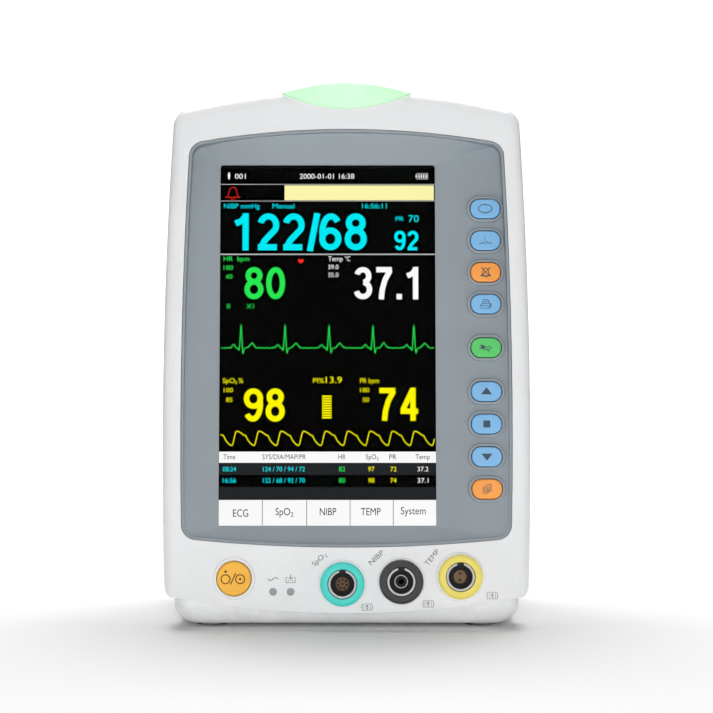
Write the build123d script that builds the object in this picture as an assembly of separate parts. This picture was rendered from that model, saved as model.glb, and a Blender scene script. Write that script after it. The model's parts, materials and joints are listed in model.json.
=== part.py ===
from build123d import *
import math
import os

# A bedside vital-signs monitor, in millimetres. +X is the viewer's right, +Y runs from the screen
# to the back and +Z is up. The origin is the middle of the footprint, on the table.
# Three frames are used: the room frame for the base and the back, the panel frame (u right, v up
# the front, w out of it) for the front housing, and the glass frame (u, s, t) for the screen well.

# ---- overall ----
OVERALL_DEPTH = 117.0
FRONT_TILT = 6.0  # the front housing leans back, degrees
WELL_TILT = 2.0  # the screen leans back this much more, degrees
WALL = 2.5
FIT_GAP = 0.25  # clearance between parts that drop into each other
SLIDE_GAP = 0.35  # clearance round anything that travels
FOOT_STAND = 1.5  # how far the feet stand below the base

# ---- front housing, in the panel frame ----
CROWN_V = 228.0
SHOULDER_DROP = 9.0  # heights with DROP in their name are below the crown
SHOULDER_HALF = 73.2
WAIST_V = 95.0
WAIST_HALF = 77.4
LIP_END_V = 13.6
LIP_HALF = 75.7
LIP_MIDDLE_V = 7.4
LIP_CORNER = 4.0
SHOULDER_CORNER = 8.5
FRONT_DEPTH = 24.0
FACE_RADIUS = 900.0  # the front face bulges to this radius across its width
EDGE_ROUND = 6.0

# ---- screen well opening, in the panel frame ----
WELL_TOP_V = 210.3
WELL_SHOULDER_V = 204.6
WELL_SHOULDER_HALF = 66.2
WELL_WAIST_HALF = 69.5
WELL_LOW_V = 38.2
WELL_LOW_HALF = 68.9
WELL_LOW_MIDDLE_V = 34.5
WELL_CORNER = 6.5
WELL_RIM = 1.0  # width of the bezel's thin rim
WELL_RIM_DROP = 0.6  # the rim sits this far below the front face
WELL_DEPTH = 5.0  # depth of the glass frame's origin below the panel plane
TOP_RAMP = 7.0  # the facet above the screen rises this far
SIDE_RAMP = 0.9
LOW_RAMP = 1.7
RAMP_BLEND = 14.0  # the facets' outer edges come down to the sides over this length
BEZEL_WALL = 2.2
FLANGE = 1.6  # the bezel's flange reaches this far behind the housing
FLANGE_THICK = 1.8

# ---- screen, in the glass frame (origin at the bottom of the screen, mid-width of the body) ----
SCREEN_LEFT = -53.6
SCREEN_WIDTH = 91.2
SCREEN_LOW_V = 43.4
SCREEN_HEIGHT = 153.2
SCREEN_CORNER = 1.2
SCREEN_LEDGE = 0.3  # flat strip between the facets and the screen opening
WINDOW_MARGIN = 2.5
WINDOW_LIP = 0.6
WINDOW_THICK = 1.2
GASKET_THICK = 0.6
LCD_SIDE = 4.2  # how far the display module's frame reaches past the picture
LCD_END = 5.8
LCD_HEAD = 2.6
LCD_THICK = 5.6
BRACKET_SHEET = 1.0
BRACKET_BAND = 12.0
BRACKET_HOLES = 3

# ---- keys, in the glass frame ----
KEY_NAMES = (
    "key_cycle",
    "key_wave",
    "key_alarm_pause",
    "key_print",
    "key_cuff_start",
    "key_up",
    "key_select",
    "key_down",
    "key_pages",
)
KEY_V = (177.2, 163.6, 150.1, 136.6, 118.1, 99.6, 85.9, 72.2, 58.7)
KEY_U = 58.7
KEY_WIDTH = 12.6
KEY_HEIGHT = 8.2
KEY_CORNER = 3.9
KEY_TOP = 3.5
KEY_EDGE = 0.7
KEY_RING = 1.1
KEY_RING_TOP = 2.6
KEY_TRAVEL = 1.2
KEY_FLANGE = 1.3
KEY_FLANGE_THICK = 1.0
LOOSE_GAP = 0.3  # between a key or button and what it may touch when pressed
MAT_SHEET = 0.8
MAT_MARGIN = 1.6
DOME_TOP_RADIUS = 2.4
DOME_FOOT_RADIUS = 3.6
DOME_HEIGHT = 1.8
BOARD_THICK = 1.6

# ---- alarm lamp, in the panel frame ----
LAMP_HALF = 27.4
LAMP_TIP_DROP = 1.9
LAMP_LOW_DROP = 8.8
LAMP_PROUD = 2.6
LAMP_FACE_PROUD = 0.4
LAMP_DEPTH = 16.0
LAMP_WALL = 1.8
LAMP_ROUND = 2.0
LED_BOARD_HALF = 22.0
LED_BOARD_W = (-15.0, -5.0)
LED_COUNT = 6
LED_PITCH = 6.4
LED_SIZE = 3.0
LED_HEIGHT = 1.0
LED_W = (-12.0, -9.0)

# ---- lower panel, in the panel frame ----
POWER_U = -46.7
POWER_V = 21.7
POWER_RADIUS = 7.1
POWER_PROUD = 2.0
POWER_TRAVEL = 1.5
POWER_RING = 1.5
POWER_RING_PROUD = 1.0
POWER_FLANGE = 1.4
POWER_FLANGE_THICK = 1.2
POWER_STEM = 2.5
POWER_SWITCH_HALF = 3.5
POWER_SWITCH_HEIGHT = 5.0
POWER_SWITCH_PLUNGER = 1.4
PIPE_U = (-30.5, -23.2)
PIPE_V = 16.2
PIPE_RADIUS = 1.6
PIPE_PROUD = 0.3
SOCKET_U = (-1.7, 22.7, 47.2)
SOCKET_V = (19.4, 20.4, 22.4)
COLLAR_RADIUS = 9.2
COLLAR_HEIGHT = 3.6
COLLAR_ROUND = 1.3
BOSS_RIM = 0.9
BOSS_PROUD = 0.5
BOSS_BACK = 5.0
SHELL_RADIUS = 6.2
SOCKET_BORE = 5.0
SOCKET_BORE_DEPTH = 5.0
SHELL_PROUD = 3.0
SHELL_TAIL = 17.0
SHELL_STEP = 1.0  # the bore steps in by this much behind its free length
INSERT_DROP = 0.3  # the insert stands this far below the bore's step
GROOVE_DEPTH = 3.0
CONTACT_DEPTH = 1.5
CONTACT_COUNTS = (8, 2, 6)  # pin holes of the SpO2, temperature and ECG sockets
CONTACT_RADIUS = 2.6
CONTACT_PIN = 0.42
CONTACT_PITCH = 1.6
KEYWAY_HALF = 0.8
KEYWAY_DEPTH = 0.6
NUT_FLATS = 16.0
NUT_THICK = 2.5
AIR_NOZZLE = 2.85
AIR_TAIL_RADIUS = 1.9
AIR_TAIL = 25.0
AIR_BORE = 1.2
IO_BOARD_HALF = 55.0
IO_BOARD_V = (14.0, 33.0)
IO_PART_U = (-30.0, 10.0, 35.0)
IO_PART_HALF = 4.0
IO_PART_V = (24.0, 30.0)
IO_PART_HEIGHT = 2.4

# ---- base and feet ----
BASE_HALF = 72.5
BASE_FRONT_GAP = 5.0  # the base stands back this far from the front of the housing
BASE_NOTCH_HALF = 62.0
BASE_NOTCH_Z = 8.5
BASE_NOTCH_END_Z = 13.0
BASE_NOTCH_DEPTH = 5.5
BASE_TOP = 17.0
BASE_PLAN_CORNER = 12.0
BASE_ROUND = 8.5
FOOT_RADIUS = 7.0
FOOT_SEAT = 1.5
FOOT_INSET_X = 16.0
FOOT_INSET_Y = 17.0

# ---- rear housing ----
REAR_HALF = 71.5
REAR_CROWN_DROP = 4.5
REAR_SHOULDER_DROP = 14.5
REAR_SHOULDER_CORNER = 13.0
REAR_ROUND = 11.0
REAR_SEAM_GAP = 7.5  # the back panel is this deep
SPIGOT_INSET = 2.9
SPIGOT_WALL = 1.6
SPIGOT_LENGTH = 4.0
SPIGOT_ROOT = 3.5
PARTING_GAP = 0.5
EARTH_PIN_STAND = 6.0  # how far the earth pin stands behind the rear face

# ---- carry handle, moulded into the rear housing ----
HANDLE_WIDTH = 98.0
HANDLE_FLOOR_Z = 181.0
HANDLE_UNDER_Z = 195.5
HANDLE_BAR_DEPTH = 19.0
HANDLE_MOUTH = 27.0
HANDLE_ROUND = 6.0
HANDLE_END_ROUND = 5.0
GRIP_THICK = 1.6
GRIP_MARGIN = 6.0

# ---- rear face ----
MOUNT_PITCH = 75.0
MOUNT_Z = 134.0
INSERT_RADIUS = 3.2
INSERT_BORE = 1.65
INSERT_LENGTH = 8.0
INSERT_BOSS = 5.4
DOOR_X = -15.0
DOOR_Z = 50.0
DOOR_WIDTH = 72.0
DOOR_HEIGHT = 54.0
DOOR_CORNER = 4.0
DOOR_SHEET = 2.2
DOOR_LEDGE = 2.0
BAY_WALL = 2.0
BATTERY_THICK = 21.0
BATTERY_GAP = 1.0
BATTERY_ROUND = 3.0
INLET_X = 38.0
INLET_Z = 46.5
INLET_WIDTH = 27.4
INLET_HEIGHT = 45.0
INLET_MARGIN = 2.0
INLET_FLANGE = 2.6
INLET_DEPTH = 26.0
INLET_CORNER = 4.0
INLET_SOCKET_WIDTH = 20.6
INLET_SOCKET_HEIGHT = 15.4
INLET_SOCKET_CHAMFER = 4.4
INLET_SOCKET_DEPTH = 16.0
INLET_SOCKET_RISE = 9.0
INLET_PIN_PITCH = 7.0
INLET_PIN_RISE = 2.0
INLET_PIN_WIDTH = 2.0
INLET_PIN_HEIGHT = 4.0
INLET_PIN_LENGTH = 14.0
FUSE_WIDTH = 18.0
FUSE_HEIGHT = 8.0
FUSE_DROP = 11.5
FUSE_LENGTH = 18.0
EARTH_X = 38.0
EARTH_Z = 82.5
EARTH_PIN_RADIUS = 3.0
EARTH_FLANGE_RADIUS = 6.5
EARTH_FLANGE_THICK = 1.6
EARTH_WELL_RADIUS = 8.0
EARTH_WELL_DEPTH = 6.5
EARTH_WELL_WALL = 2.0
REAR_SCREW_X = 56.5
REAR_SCREW_Z = (42.0, 186.0)
SCREW_RADIUS = 1.5
SCREW_HEAD = 2.8
SCREW_HEAD_THICK = 2.0
SCREW_LENGTH = 9.0
SCREW_SOCKET = 1.2
SCREW_SOCKET_DEPTH = 1.2
POST_RADIUS = 3.0

# ---- chassis and boards ----
CHASSIS_W = -27.0
CHASSIS_SHEET = 1.2
CHASSIS_HALF = 64.0
CHASSIS_LOW_V = 24.0
CHASSIS_HIGH_V = 208.0
CHASSIS_CORNER = 8.0
HOUSING_POST = (60.0, 30.0)
BEZEL_POST = (50.0, 203.8)
HOUSING_POST_RADIUS = 3.0
MAIN_BOARD_GAP = 6.0
MAIN_BOARD_U = (-62.0, 22.0)
MAIN_BOARD_V = (50.0, 168.0)
STANDOFF_RADIUS = 2.5
STANDOFF_INSET = 6.0
CHASSIS_HOLE = (70.0, 26.0, 6.0)  # width, height and corner of each lightening hole
CHASSIS_HOLE_U = -8.0
CHASSIS_HOLE_V = (76.0, 118.0, 184.0)
SINK_U = (-36.0, -8.0)
SINK_V = (58.0, 86.0)
SINK_BASE = 3.0
SINK_FINS = 6
SINK_FIN = 1.5
SINK_PITCH = 5.0
SINK_HEIGHT = 7.0
MAIN_BOARD_PARTS = (  # u, v, half width, half height, height of each part on the board
    (4, 68, 6, 8, 2),
    (-46, 70, 5, 9, 3),
    (-20, 140, 9, 9, 2),
    (8, 150, 8, 4, 5),
)
POWER_BOARD_X = (-60.0, 12.0)
POWER_BOARD_Y = (-26.0, 44.0)
POWER_BOARD_STAND = 4.0
POWER_STANDOFF_Y = (-6.0, 16.0)
TRANSFORMER_X = (-34.0, -10.0)
TRANSFORMER_Y = (-8.0, 14.0)
TRANSFORMER_HEIGHT = 9.0
CAPACITOR_X = (-50.0, -42.0)
CAPACITOR_Y = 4.0
CAPACITOR_RADIUS = 3.5
CAPACITOR_HEIGHT = 9.5
PUMP_X = (-28.0, 14.0)
PUMP_Y = 36.0
PUMP_RADIUS = 11.0
PUMP_PORT_X = 8.0
PUMP_PORT_LENGTH = 5.0
PUMP_PORT_RADIUS = 1.6
HOSE_RADIUS = 2.6
HOSE_RISE_Y = 4.0
HOSE_BENDS = (9.0, 6.0, 6.0)

# ---- strip-chart recorder in the right side ----
REC_BACK_GAP = 2.0  # the recorder stands this far in front of the back panel's seam
REC_Z = 98.0
REC_WIDTH = 56.0  # along Y
REC_HEIGHT = 60.0  # along Z
REC_DEPTH = 42.0
REC_WALL = 2.0
REC_EAR = 2.5
REC_DOOR_SHEET = 2.6
REC_SLIT = 1.2  # the paper leaves through this gap above the door
RUN_GAP = 0.08  # radial clearance of a turning pin
HINGE_RADIUS = 1.2
PAPER_RADIUS = 17.0
PAPER_BORE = 5.0
PAPER_CORE_WALL = 1.2
PAPER_STEP = 0.6
PAPER_WIDTH = 48.0
PAPER_IN = 21.5  # the roll's axis is this far inside the side face
PAPER_RISE = -6.0
PAPER_PIN_IN = 2.0  # how far each stub pin reaches into the roll
PLATEN_RADIUS = 4.0
PLATEN_SHAFT = 1.5
PLATEN_LENGTH = 44.0
PLATEN_IN = 8.5
PLATEN_RISE = 21.0
PLATEN_EAR = 2.0
PLATEN_EAR_HALF = 3.6
HEAD_SIZE = (10.0, 42.0, 8.0)
LATCH_WIDTH = 16.0
LATCH_HEIGHT = 7.0
LATCH_RISE = 9.0
LATCH_PROUD = 0.6
LATCH_FLANGE = 1.5
LATCH_FLANGE_THICK = 1.2

# ---- left side ----
ECG_Y = 6.0
ECG_Z = 58.0
PORT_Y = 30.0
PORT_Z = 96.0
PORT_WIDTH = 16.0
PORT_HEIGHT = 13.6
PORT_DEPTH = 21.0
PORT_OPEN_WIDTH = 12.0
PORT_OPEN_HEIGHT = 8.4
PORT_OPEN_DEPTH = 12.0
SPEAKER_Y = 19.0
SPEAKER_Z = 146.0
SPEAKER_RADIUS = 18.0
GRILLE_HOLE = 1.0
GRILLE_PITCH = 3.6
GRILLE_RINGS = 4
SPEAKER_DEPTH = 14.0
VENT_COUNT = 7
VENT_PITCH = 6.0
VENT_WIDTH = 2.2
VENT_LENGTH = 18.0
VENT_Z = 156.0

# ---- derived places ----
SHOULDER_V = CROWN_V - SHOULDER_DROP
LAMP_TIP_V = CROWN_V - LAMP_TIP_DROP
LAMP_LOW_V = CROWN_V - LAMP_LOW_DROP
REAR_CROWN_V = CROWN_V - REAR_CROWN_DROP
REAR_SHOULDER_V = CROWN_V - REAR_SHOULDER_DROP
LEAN = math.radians(FRONT_TILT)
REAR_FACE = OVERALL_DEPTH / 2 - EARTH_PIN_STAND
REAR_SEAM = REAR_FACE - REAR_SEAM_GAP
COLLAR_CORE_V = min(SOCKET_V) - COLLAR_RADIUS + COLLAR_ROUND
COLLAR_CORE_W = COLLAR_HEIGHT - COLLAR_ROUND
COLLAR_REACH = COLLAR_CORE_W * math.cos(LEAN) - COLLAR_CORE_V * math.sin(LEAN) + COLLAR_ROUND
FRONT_Y = COLLAR_REACH - OVERALL_DEPTH / 2
PANEL = Plane(
    origin=(0, FRONT_Y, 0),
    x_dir=(1, 0, 0),
    z_dir=(0, -math.cos(LEAN), math.sin(LEAN)),
)
WELL_LEAN = math.radians(WELL_TILT)
GLASS = Plane(
    origin=(0, SCREEN_LOW_V, -WELL_DEPTH),
    x_dir=(1, 0, 0),
    z_dir=(0, math.sin(WELL_LEAN), math.cos(WELL_LEAN)),
)
CORNER_BACK = -FRONT_DEPTH
BASE_FRONT = FRONT_Y + BASE_FRONT_GAP
CHASSIS_BACK = CHASSIS_W - CHASSIS_SHEET
BOARD_FRONT = CHASSIS_BACK - MAIN_BOARD_GAP
SHELL_SEAT = SHELL_PROUD - SOCKET_BORE_DEPTH
INSERT_TOP = SHELL_SEAT - INSERT_DROP
SHELL_TAIL_WALL = 2.0
REC_OUT = REAR_HALF
REC_Y = REAR_SEAM - REC_BACK_GAP - REC_WIDTH / 2
HINGE_KNUCKLE = REC_DOOR_SHEET
HINGE_X = REC_OUT - HINGE_KNUCKLE
HINGE_Z = REC_Z - REC_HEIGHT / 2 + REC_WALL + SLIDE_GAP + HINGE_KNUCKLE
LEFT_SOCKET = Plane(origin=(-REAR_HALF, ECG_Y, ECG_Z), x_dir=(0, -1, 0), z_dir=(-1, 0, 0))
PUMP_Z = DOOR_Z + DOOR_HEIGHT / 2 + BAY_WALL + PUMP_RADIUS
LCD_TOP = -(WINDOW_LIP + WINDOW_THICK + GASKET_THICK)
LCD_BACK = LCD_TOP - LCD_THICK
DOME_TOP = -(BEZEL_WALL + KEY_FLANGE_THICK + KEY_TRAVEL + 2 * LOOSE_GAP)
MAT_TOP = DOME_TOP - DOME_HEIGHT
MAT_BACK = MAT_TOP - MAT_SHEET
IO_BOARD_TOP = -SHELL_TAIL
POWER_SWITCH_TOP = IO_BOARD_TOP + POWER_SWITCH_HEIGHT
PAPER_PLACE = (REC_OUT - PAPER_IN, REC_Z + PAPER_RISE)
PLATEN_PLACE = (REC_OUT - PLATEN_IN, REC_Z + PLATEN_RISE)
REC_INNER_HALF = REC_WIDTH / 2 - REC_WALL
REC_INNER_TOP = REC_Z + REC_HEIGHT / 2 - REC_WALL


def write(shape, node):
    """Writes one sub-part in the room frame."""
    os.makedirs("parts", exist_ok=True)
    export_step(shape, f"parts/{node}.step")


def on_panel(shape):
    """Moves a shape drawn in the panel frame to the room frame."""
    return shape.moved(PANEL.location)


def on_glass(shape):
    """Moves a shape drawn in the glass frame to the room frame."""
    return shape.moved(GLASS.location).moved(PANEL.location)


def glass_to_panel(shape):
    """Moves a shape drawn in the glass frame to the panel frame."""
    return shape.moved(GLASS.location)


def block(x, y, z):
    """A box between two limits on each axis."""
    size = [high - low for low, high in (x, y, z)]
    middle = [(high + low) / 2 for low, high in (x, y, z)]
    return Pos(*middle) * Box(*size)


def plate(width, height, corner, low, high, at=(0, 0)):
    """A rounded rectangle on XY between two heights."""
    return Pos(at[0], at[1], low) * extrude(RectangleRounded(width, height, corner), high - low)


def rod(radius, start, end, at=(0, 0), axis=Axis.Z):
    """A cylinder along an axis from start to end, centred at the two other coordinates."""
    turned = {Axis.X: (0, 90, 0), Axis.Y: (-90, 0, 0), Axis.Z: (0, 0, 0)}[axis]
    middle = (start + end) / 2
    place = {
        Axis.X: (middle, at[0], at[1]),
        Axis.Y: (at[0], middle, at[1]),
        Axis.Z: (at[0], at[1], middle),
    }[axis]
    return Pos(*place) * Rot(*turned) * Cylinder(radius, abs(end - start))


def between(face, low, high):
    """A flat face drawn on XY, pulled from one height to another."""
    return Pos(0, 0, low) * extrude(face, high - low)


def grown(face, amount):
    """A flat outline offset outwards by amount, drawn again as plain lines and arcs."""
    if not amount:
        return face
    edges = []
    for edge in offset(face, amount=amount).edges():
        straight = edge.geom_type == GeomType.LINE
        edges.append(Line(edge @ 0, edge @ 1) if straight else ThreePointArc(edge @ 0, edge @ 0.5, edge @ 1))
    return make_face(edges)


def barrel(top_half, top_v, crown_v, waist_half, low_half, low_v, low_mid_v, corner, low_corner):
    """The front's barrel outline: an arched top, bowed sides and a sagging bottom."""
    corners = ((-top_half, top_v), (top_half, top_v), (low_half, low_v), (-low_half, low_v))
    bulges = ((0, crown_v), (waist_half, WAIST_V), (0, low_mid_v), (-waist_half, WAIST_V))
    arcs = [
        ThreePointArc(corners[i], bulges[i], corners[(i + 1) % 4])
        for i in range(4)
    ]
    face = make_face(arcs)
    by_height = face.vertices().sort_by(Axis.Y)
    face = fillet(by_height[-2:], corner)
    by_height = face.vertices().sort_by(Axis.Y)
    return fillet(by_height[:2], low_corner) if low_corner else face


def housing_outline(grow=0.0, drop=0.0):
    """The front housing's outline, offset outwards by grow and let down by drop at the bottom."""
    low_half = LIP_HALF + drop * (LIP_HALF - WAIST_HALF) / (WAIST_V - LIP_END_V)
    face = barrel(
        SHOULDER_HALF,
        SHOULDER_V,
        CROWN_V,
        WAIST_HALF,
        low_half,
        LIP_END_V - drop,
        LIP_MIDDLE_V - drop,
        SHOULDER_CORNER,
        0.0 if drop else LIP_CORNER,
    )
    return grown(face, grow)


def well_outline(grow=0.0):
    """The screen well's outline in the front housing, offset by grow."""
    face = barrel(
        WELL_SHOULDER_HALF,
        WELL_SHOULDER_V,
        WELL_TOP_V,
        WELL_WAIST_HALF,
        WELL_LOW_HALF,
        WELL_LOW_V,
        WELL_LOW_MIDDLE_V,
        WELL_CORNER,
        WELL_CORNER,
    )
    return grown(face, grow)


def face_level(u):
    """Height of the bulged front face above the panel plane, u from the middle."""
    return math.sqrt(FACE_RADIUS**2 - u**2) - FACE_RADIUS


def under_face(level):
    """Everything below the bulged front face, moved out by level."""
    radius = FACE_RADIUS + level
    long = 3 * CROWN_V
    return rod(radius, -CROWN_V, long, at=(0, -FACE_RADIUS), axis=Axis.Y)


def front_block(grow=0.0, level=0.0, back=CORNER_BACK):
    """The front housing's outside as a solid, open-ended below: grow moves its sides, level its face."""
    drop = 25.0
    body = between(housing_outline(grow, drop), back, EDGE_ROUND)
    body = body & under_face(level)
    face = body.faces().sort_by(Axis.Z)[-1]
    return fillet(face.edges().sort_by(Axis.Y)[1:], EDGE_ROUND + grow)


def rear_outline(inset=0.0):
    """The rear housing's outline seen from the front: upright sides and an arched top."""
    low = -30.0
    high = REAR_SHOULDER_V
    corners = ((-REAR_HALF, high), (REAR_HALF, high), (REAR_HALF, low), (-REAR_HALF, low))
    top = ThreePointArc(corners[0], (0, REAR_CROWN_V), corners[1])
    rest = Polyline(corners[1], corners[2], corners[3], corners[0])
    face = make_face([top, rest])
    face = fillet(face.vertices().sort_by(Axis.Y)[-2:], REAR_SHOULDER_CORNER)
    return grown(face, -inset)


def lip_cutter():
    """What is cut off below the front housing's sagging lip, with its rounded ends."""
    far = 2 * WAIST_HALF
    reach = LIP_HALF + 0.15
    start_v = LIP_END_V + LIP_CORNER
    end = (LIP_HALF - LIP_CORNER, LIP_END_V)
    knee = (reach - LIP_CORNER * (1 - math.sqrt(0.5)) * 0.9, LIP_END_V + LIP_CORNER * (1 - math.sqrt(0.5)))
    mirror = [(-p[0], p[1]) for p in (end, knee)]
    sides = [
        Polyline((far, -far), (far, start_v), (reach, start_v)),
        ThreePointArc((reach, start_v), knee, end),
        ThreePointArc(end, (0, LIP_MIDDLE_V), mirror[0]),
        ThreePointArc(mirror[0], mirror[1], (-reach, start_v)),
        Polyline((-reach, start_v), (-far, start_v), (-far, -far), (far, -far)),
    ]
    return between(make_face(sides), CORNER_BACK - 10, 20)


def lamp_outline(grow=0.0):
    """The alarm lamp's sagging lower edge seen from the front, open upwards past the crown."""
    high = CROWN_V + 4 * LAMP_PROUD
    half = LAMP_HALF + grow
    low = ThreePointArc((-half, LAMP_TIP_V), (0, LAMP_LOW_V - grow), (half, LAMP_TIP_V))
    rest = Polyline((half, LAMP_TIP_V), (half, high), (-half, high), (-half, LAMP_TIP_V))
    return make_face([low, rest])


def lamp_crown(grow=0.0):
    """The alarm lamp's arched top: a disc that meets the front housing at the lamp's tips."""
    peak = CROWN_V + LAMP_PROUD
    sag = peak - LAMP_TIP_V
    radius = (LAMP_HALF**2 + sag**2) / (2 * sag)
    return rod(radius + grow, -2 * LAMP_DEPTH, EDGE_ROUND, at=(0, peak - radius))


def front_housing():
    """White front shell: screen well opening, lamp notch, lower panel with its holes and bosses."""
    shell = front_block() - lip_cutter()
    cavity = front_block(-WALL, -WALL, CORNER_BACK + WALL)
    shell = shell - cavity
    shell = shell - between(rear_outline(SPIGOT_INSET - FIT_GAP), CORNER_BACK - 1, CORNER_BACK + WALL + 1)
    shell = shell - between(well_outline(), -12, 12)
    shell = shell - between(lamp_outline(FIT_GAP), -LAMP_DEPTH - FIT_GAP, 20)
    level = face_level(POWER_U)
    ring_radius = POWER_RADIUS + SLIDE_GAP + POWER_RING
    ring = rod(ring_radius, level - WALL / 2, level + POWER_RING_PROUD, at=(POWER_U, POWER_V))
    shell = shell + chamfer(ring.faces().sort_by(Axis.Z)[-1].edges(), POWER_RING_PROUD * 0.6)
    for u, v in zip(SOCKET_U, SOCKET_V):
        boss = rod(COLLAR_RADIUS + BOSS_RIM, -BOSS_BACK, BOSS_PROUD, at=(u, v))
        shell = shell + fillet(boss.faces().sort_by(Axis.Z)[-1].edges(), BOSS_PROUD * 0.8)
    for side in (-1, 1):
        at = (side * HOUSING_POST[0], HOUSING_POST[1])
        shell = shell + rod(HOUSING_POST_RADIUS, CHASSIS_W, face_level(at[0]) - WALL / 2, at=at)
        shell = shell - rod(SCREW_RADIUS, CHASSIS_W - 1, CHASSIS_W + SCREW_LENGTH, at=at)
    through = BOSS_BACK + 10
    shell = shell - rod(POWER_RADIUS + SLIDE_GAP, -through, through, at=(POWER_U, POWER_V))
    for u in PIPE_U:
        shell = shell - rod(PIPE_RADIUS, -through, through, at=(u, PIPE_V))
    for u, v in zip(SOCKET_U, SOCKET_V):
        shell = shell - rod(SHELL_RADIUS, -through, through, at=(u, v))
    return on_panel(shell) - base_block(FIT_GAP, BASE_TOP + FIT_GAP)


def base_block(grow=0.0, top=BASE_TOP):
    """The base's outside: a tray shape with round corners in plan and a rolled bottom edge."""
    width = 2 * (BASE_HALF + grow)
    depth = REAR_FACE - BASE_FRONT + 2 * grow
    low = FOOT_STAND - grow
    middle = (REAR_FACE + BASE_FRONT) / 2
    body = plate(width, depth, BASE_PLAN_CORNER + grow, low, top, at=(0, middle))
    return fillet(body.faces().sort_by(Axis.Z)[0].edges(), BASE_ROUND + grow)


def foot_places():
    """Where the four feet stand."""
    places = []
    for x in (-BASE_HALF + FOOT_INSET_X, BASE_HALF - FOOT_INSET_X):
        for y in (BASE_FRONT + FOOT_INSET_Y, REAR_FACE - FOOT_INSET_Y):
            places.append((x, y))
    return places


def socket_notch():
    """The arched space that the sockets need in the base's front wall."""
    left, right = (-BASE_NOTCH_HALF, BASE_NOTCH_END_Z), (BASE_NOTCH_HALF, BASE_NOTCH_END_Z)
    top = BASE_TOP + WALL
    sill = ThreePointArc(left, (0, BASE_NOTCH_Z), right)
    sides = Polyline(right, (BASE_NOTCH_HALF, top), (-BASE_NOTCH_HALF, top), left)
    front = Plane.XZ.offset(-(BASE_FRONT + BASE_NOTCH_DEPTH))
    return extrude(front * make_face(sill + sides), BASE_NOTCH_DEPTH + WALL)


def base_tray():
    """Base: an open tray with seats for the feet, let down in front for the sockets."""
    tray = base_block() - base_block(-WALL, BASE_TOP + 1)
    for at in foot_places():
        tray = tray + rod(FOOT_RADIUS + FIT_GAP + WALL, FOOT_STAND, FOOT_STAND + FOOT_SEAT + WALL, at=at)
        tray = tray - rod(FOOT_RADIUS, 0, FOOT_STAND + FOOT_SEAT, at=at)
    return tray - socket_notch()


def rubber_feet():
    """Four round rubber feet."""
    feet = []
    for at in foot_places():
        foot = rod(FOOT_RADIUS, 0, FOOT_STAND + FOOT_SEAT, at=at)
        feet.append(chamfer(foot.faces().sort_by(Axis.Z)[0].edges(), 0.6))
    return Compound(feet)


def loop_of(face, samples=12):
    """An outline's edges in order round the body, each as a run of (u, v) points."""
    middle = Vector(0, (CROWN_V + LIP_MIDDLE_V) / 2)

    def angle(point):
        away = point - middle
        return math.atan2(away.Y, away.X)

    runs = []
    for edge in sorted(face.face().outer_wire().edges(), key=lambda one: angle(one @ 0.5)):
        turn = (angle(edge @ 1) - angle(edge @ 0.5)) % (2 * math.pi)
        points = [edge @ (i / samples) for i in range(samples + 1)]
        runs.append(points if turn < math.pi else points[::-1])
    return runs


def raised_loop(runs, level):
    """A closed wire over the runs of an outline, lifted to level(u, v)."""
    edges = [Spline([(p.X, p.Y, level(p.X, p.Y)) for p in run]) for run in runs]
    return Wire(edges)


def glass_level(v):
    """Height of the glass plane in the panel frame."""
    return -WELL_DEPTH - (v - SCREEN_LOW_V) * math.tan(WELL_LEAN)


def ramp_level(u, v):
    """Height of the facets' outer edge in the panel frame."""
    upper = v > SCREEN_LOW_V + SCREEN_HEIGHT / 2
    end = WELL_SHOULDER_HALF - WELL_CORNER
    share = min(1.0, max(0.0, (end - abs(u)) / RAMP_BLEND))
    share = share * share * (3 - 2 * share)
    rise = (TOP_RAMP if upper else LOW_RAMP) - SIDE_RAMP
    return glass_level(v) + SIDE_RAMP + rise * share


def screen_middle():
    """Middle of the screen in the glass frame."""
    return (SCREEN_LEFT + SCREEN_WIDTH / 2, SCREEN_HEIGHT / 2)


def screen_plate(grow, low, high):
    """A plate the size of the screen, grown by grow, between two heights in the glass frame."""
    corner = max(0.5, SCREEN_CORNER + grow)
    return plate(SCREEN_WIDTH + 2 * grow, SCREEN_HEIGHT + 2 * grow, corner, low, high, at=screen_middle())


def key_place(v):
    """A key's middle in the glass frame, from its height up the panel."""
    return (KEY_U, (v - SCREEN_LOW_V) / math.cos(WELL_LEAN))


def key_plate(grow, low, high, at=(0, 0)):
    """A plate in the shape of a key cap, grown by grow."""
    return plate(KEY_WIDTH + 2 * grow, KEY_HEIGHT + 2 * grow, KEY_CORNER + grow, low, high, at=at)


def dish():
    """What is cut out of the bezel: a straight-sided well over four facets that meet the screen."""
    outline = loop_of(well_outline(-FIT_GAP - WELL_RIM))
    ledge = 2 * SCREEN_LEDGE
    sheet = RectangleRounded(SCREEN_WIDTH + ledge, SCREEN_HEIGHT + ledge, SCREEN_CORNER + SCREEN_LEDGE)
    screen = Pos(*screen_middle()) * sheet
    corners = loop_of(Pos(0, SCREEN_LOW_V) * screen)
    high = raised_loop(outline, lambda u, v: WELL_DEPTH * 3)
    ramp = raised_loop(outline, ramp_level)
    low = raised_loop(corners, lambda u, v: glass_level(v))
    return Solid.make_loft([high, ramp, low], ruled=True)


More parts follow.
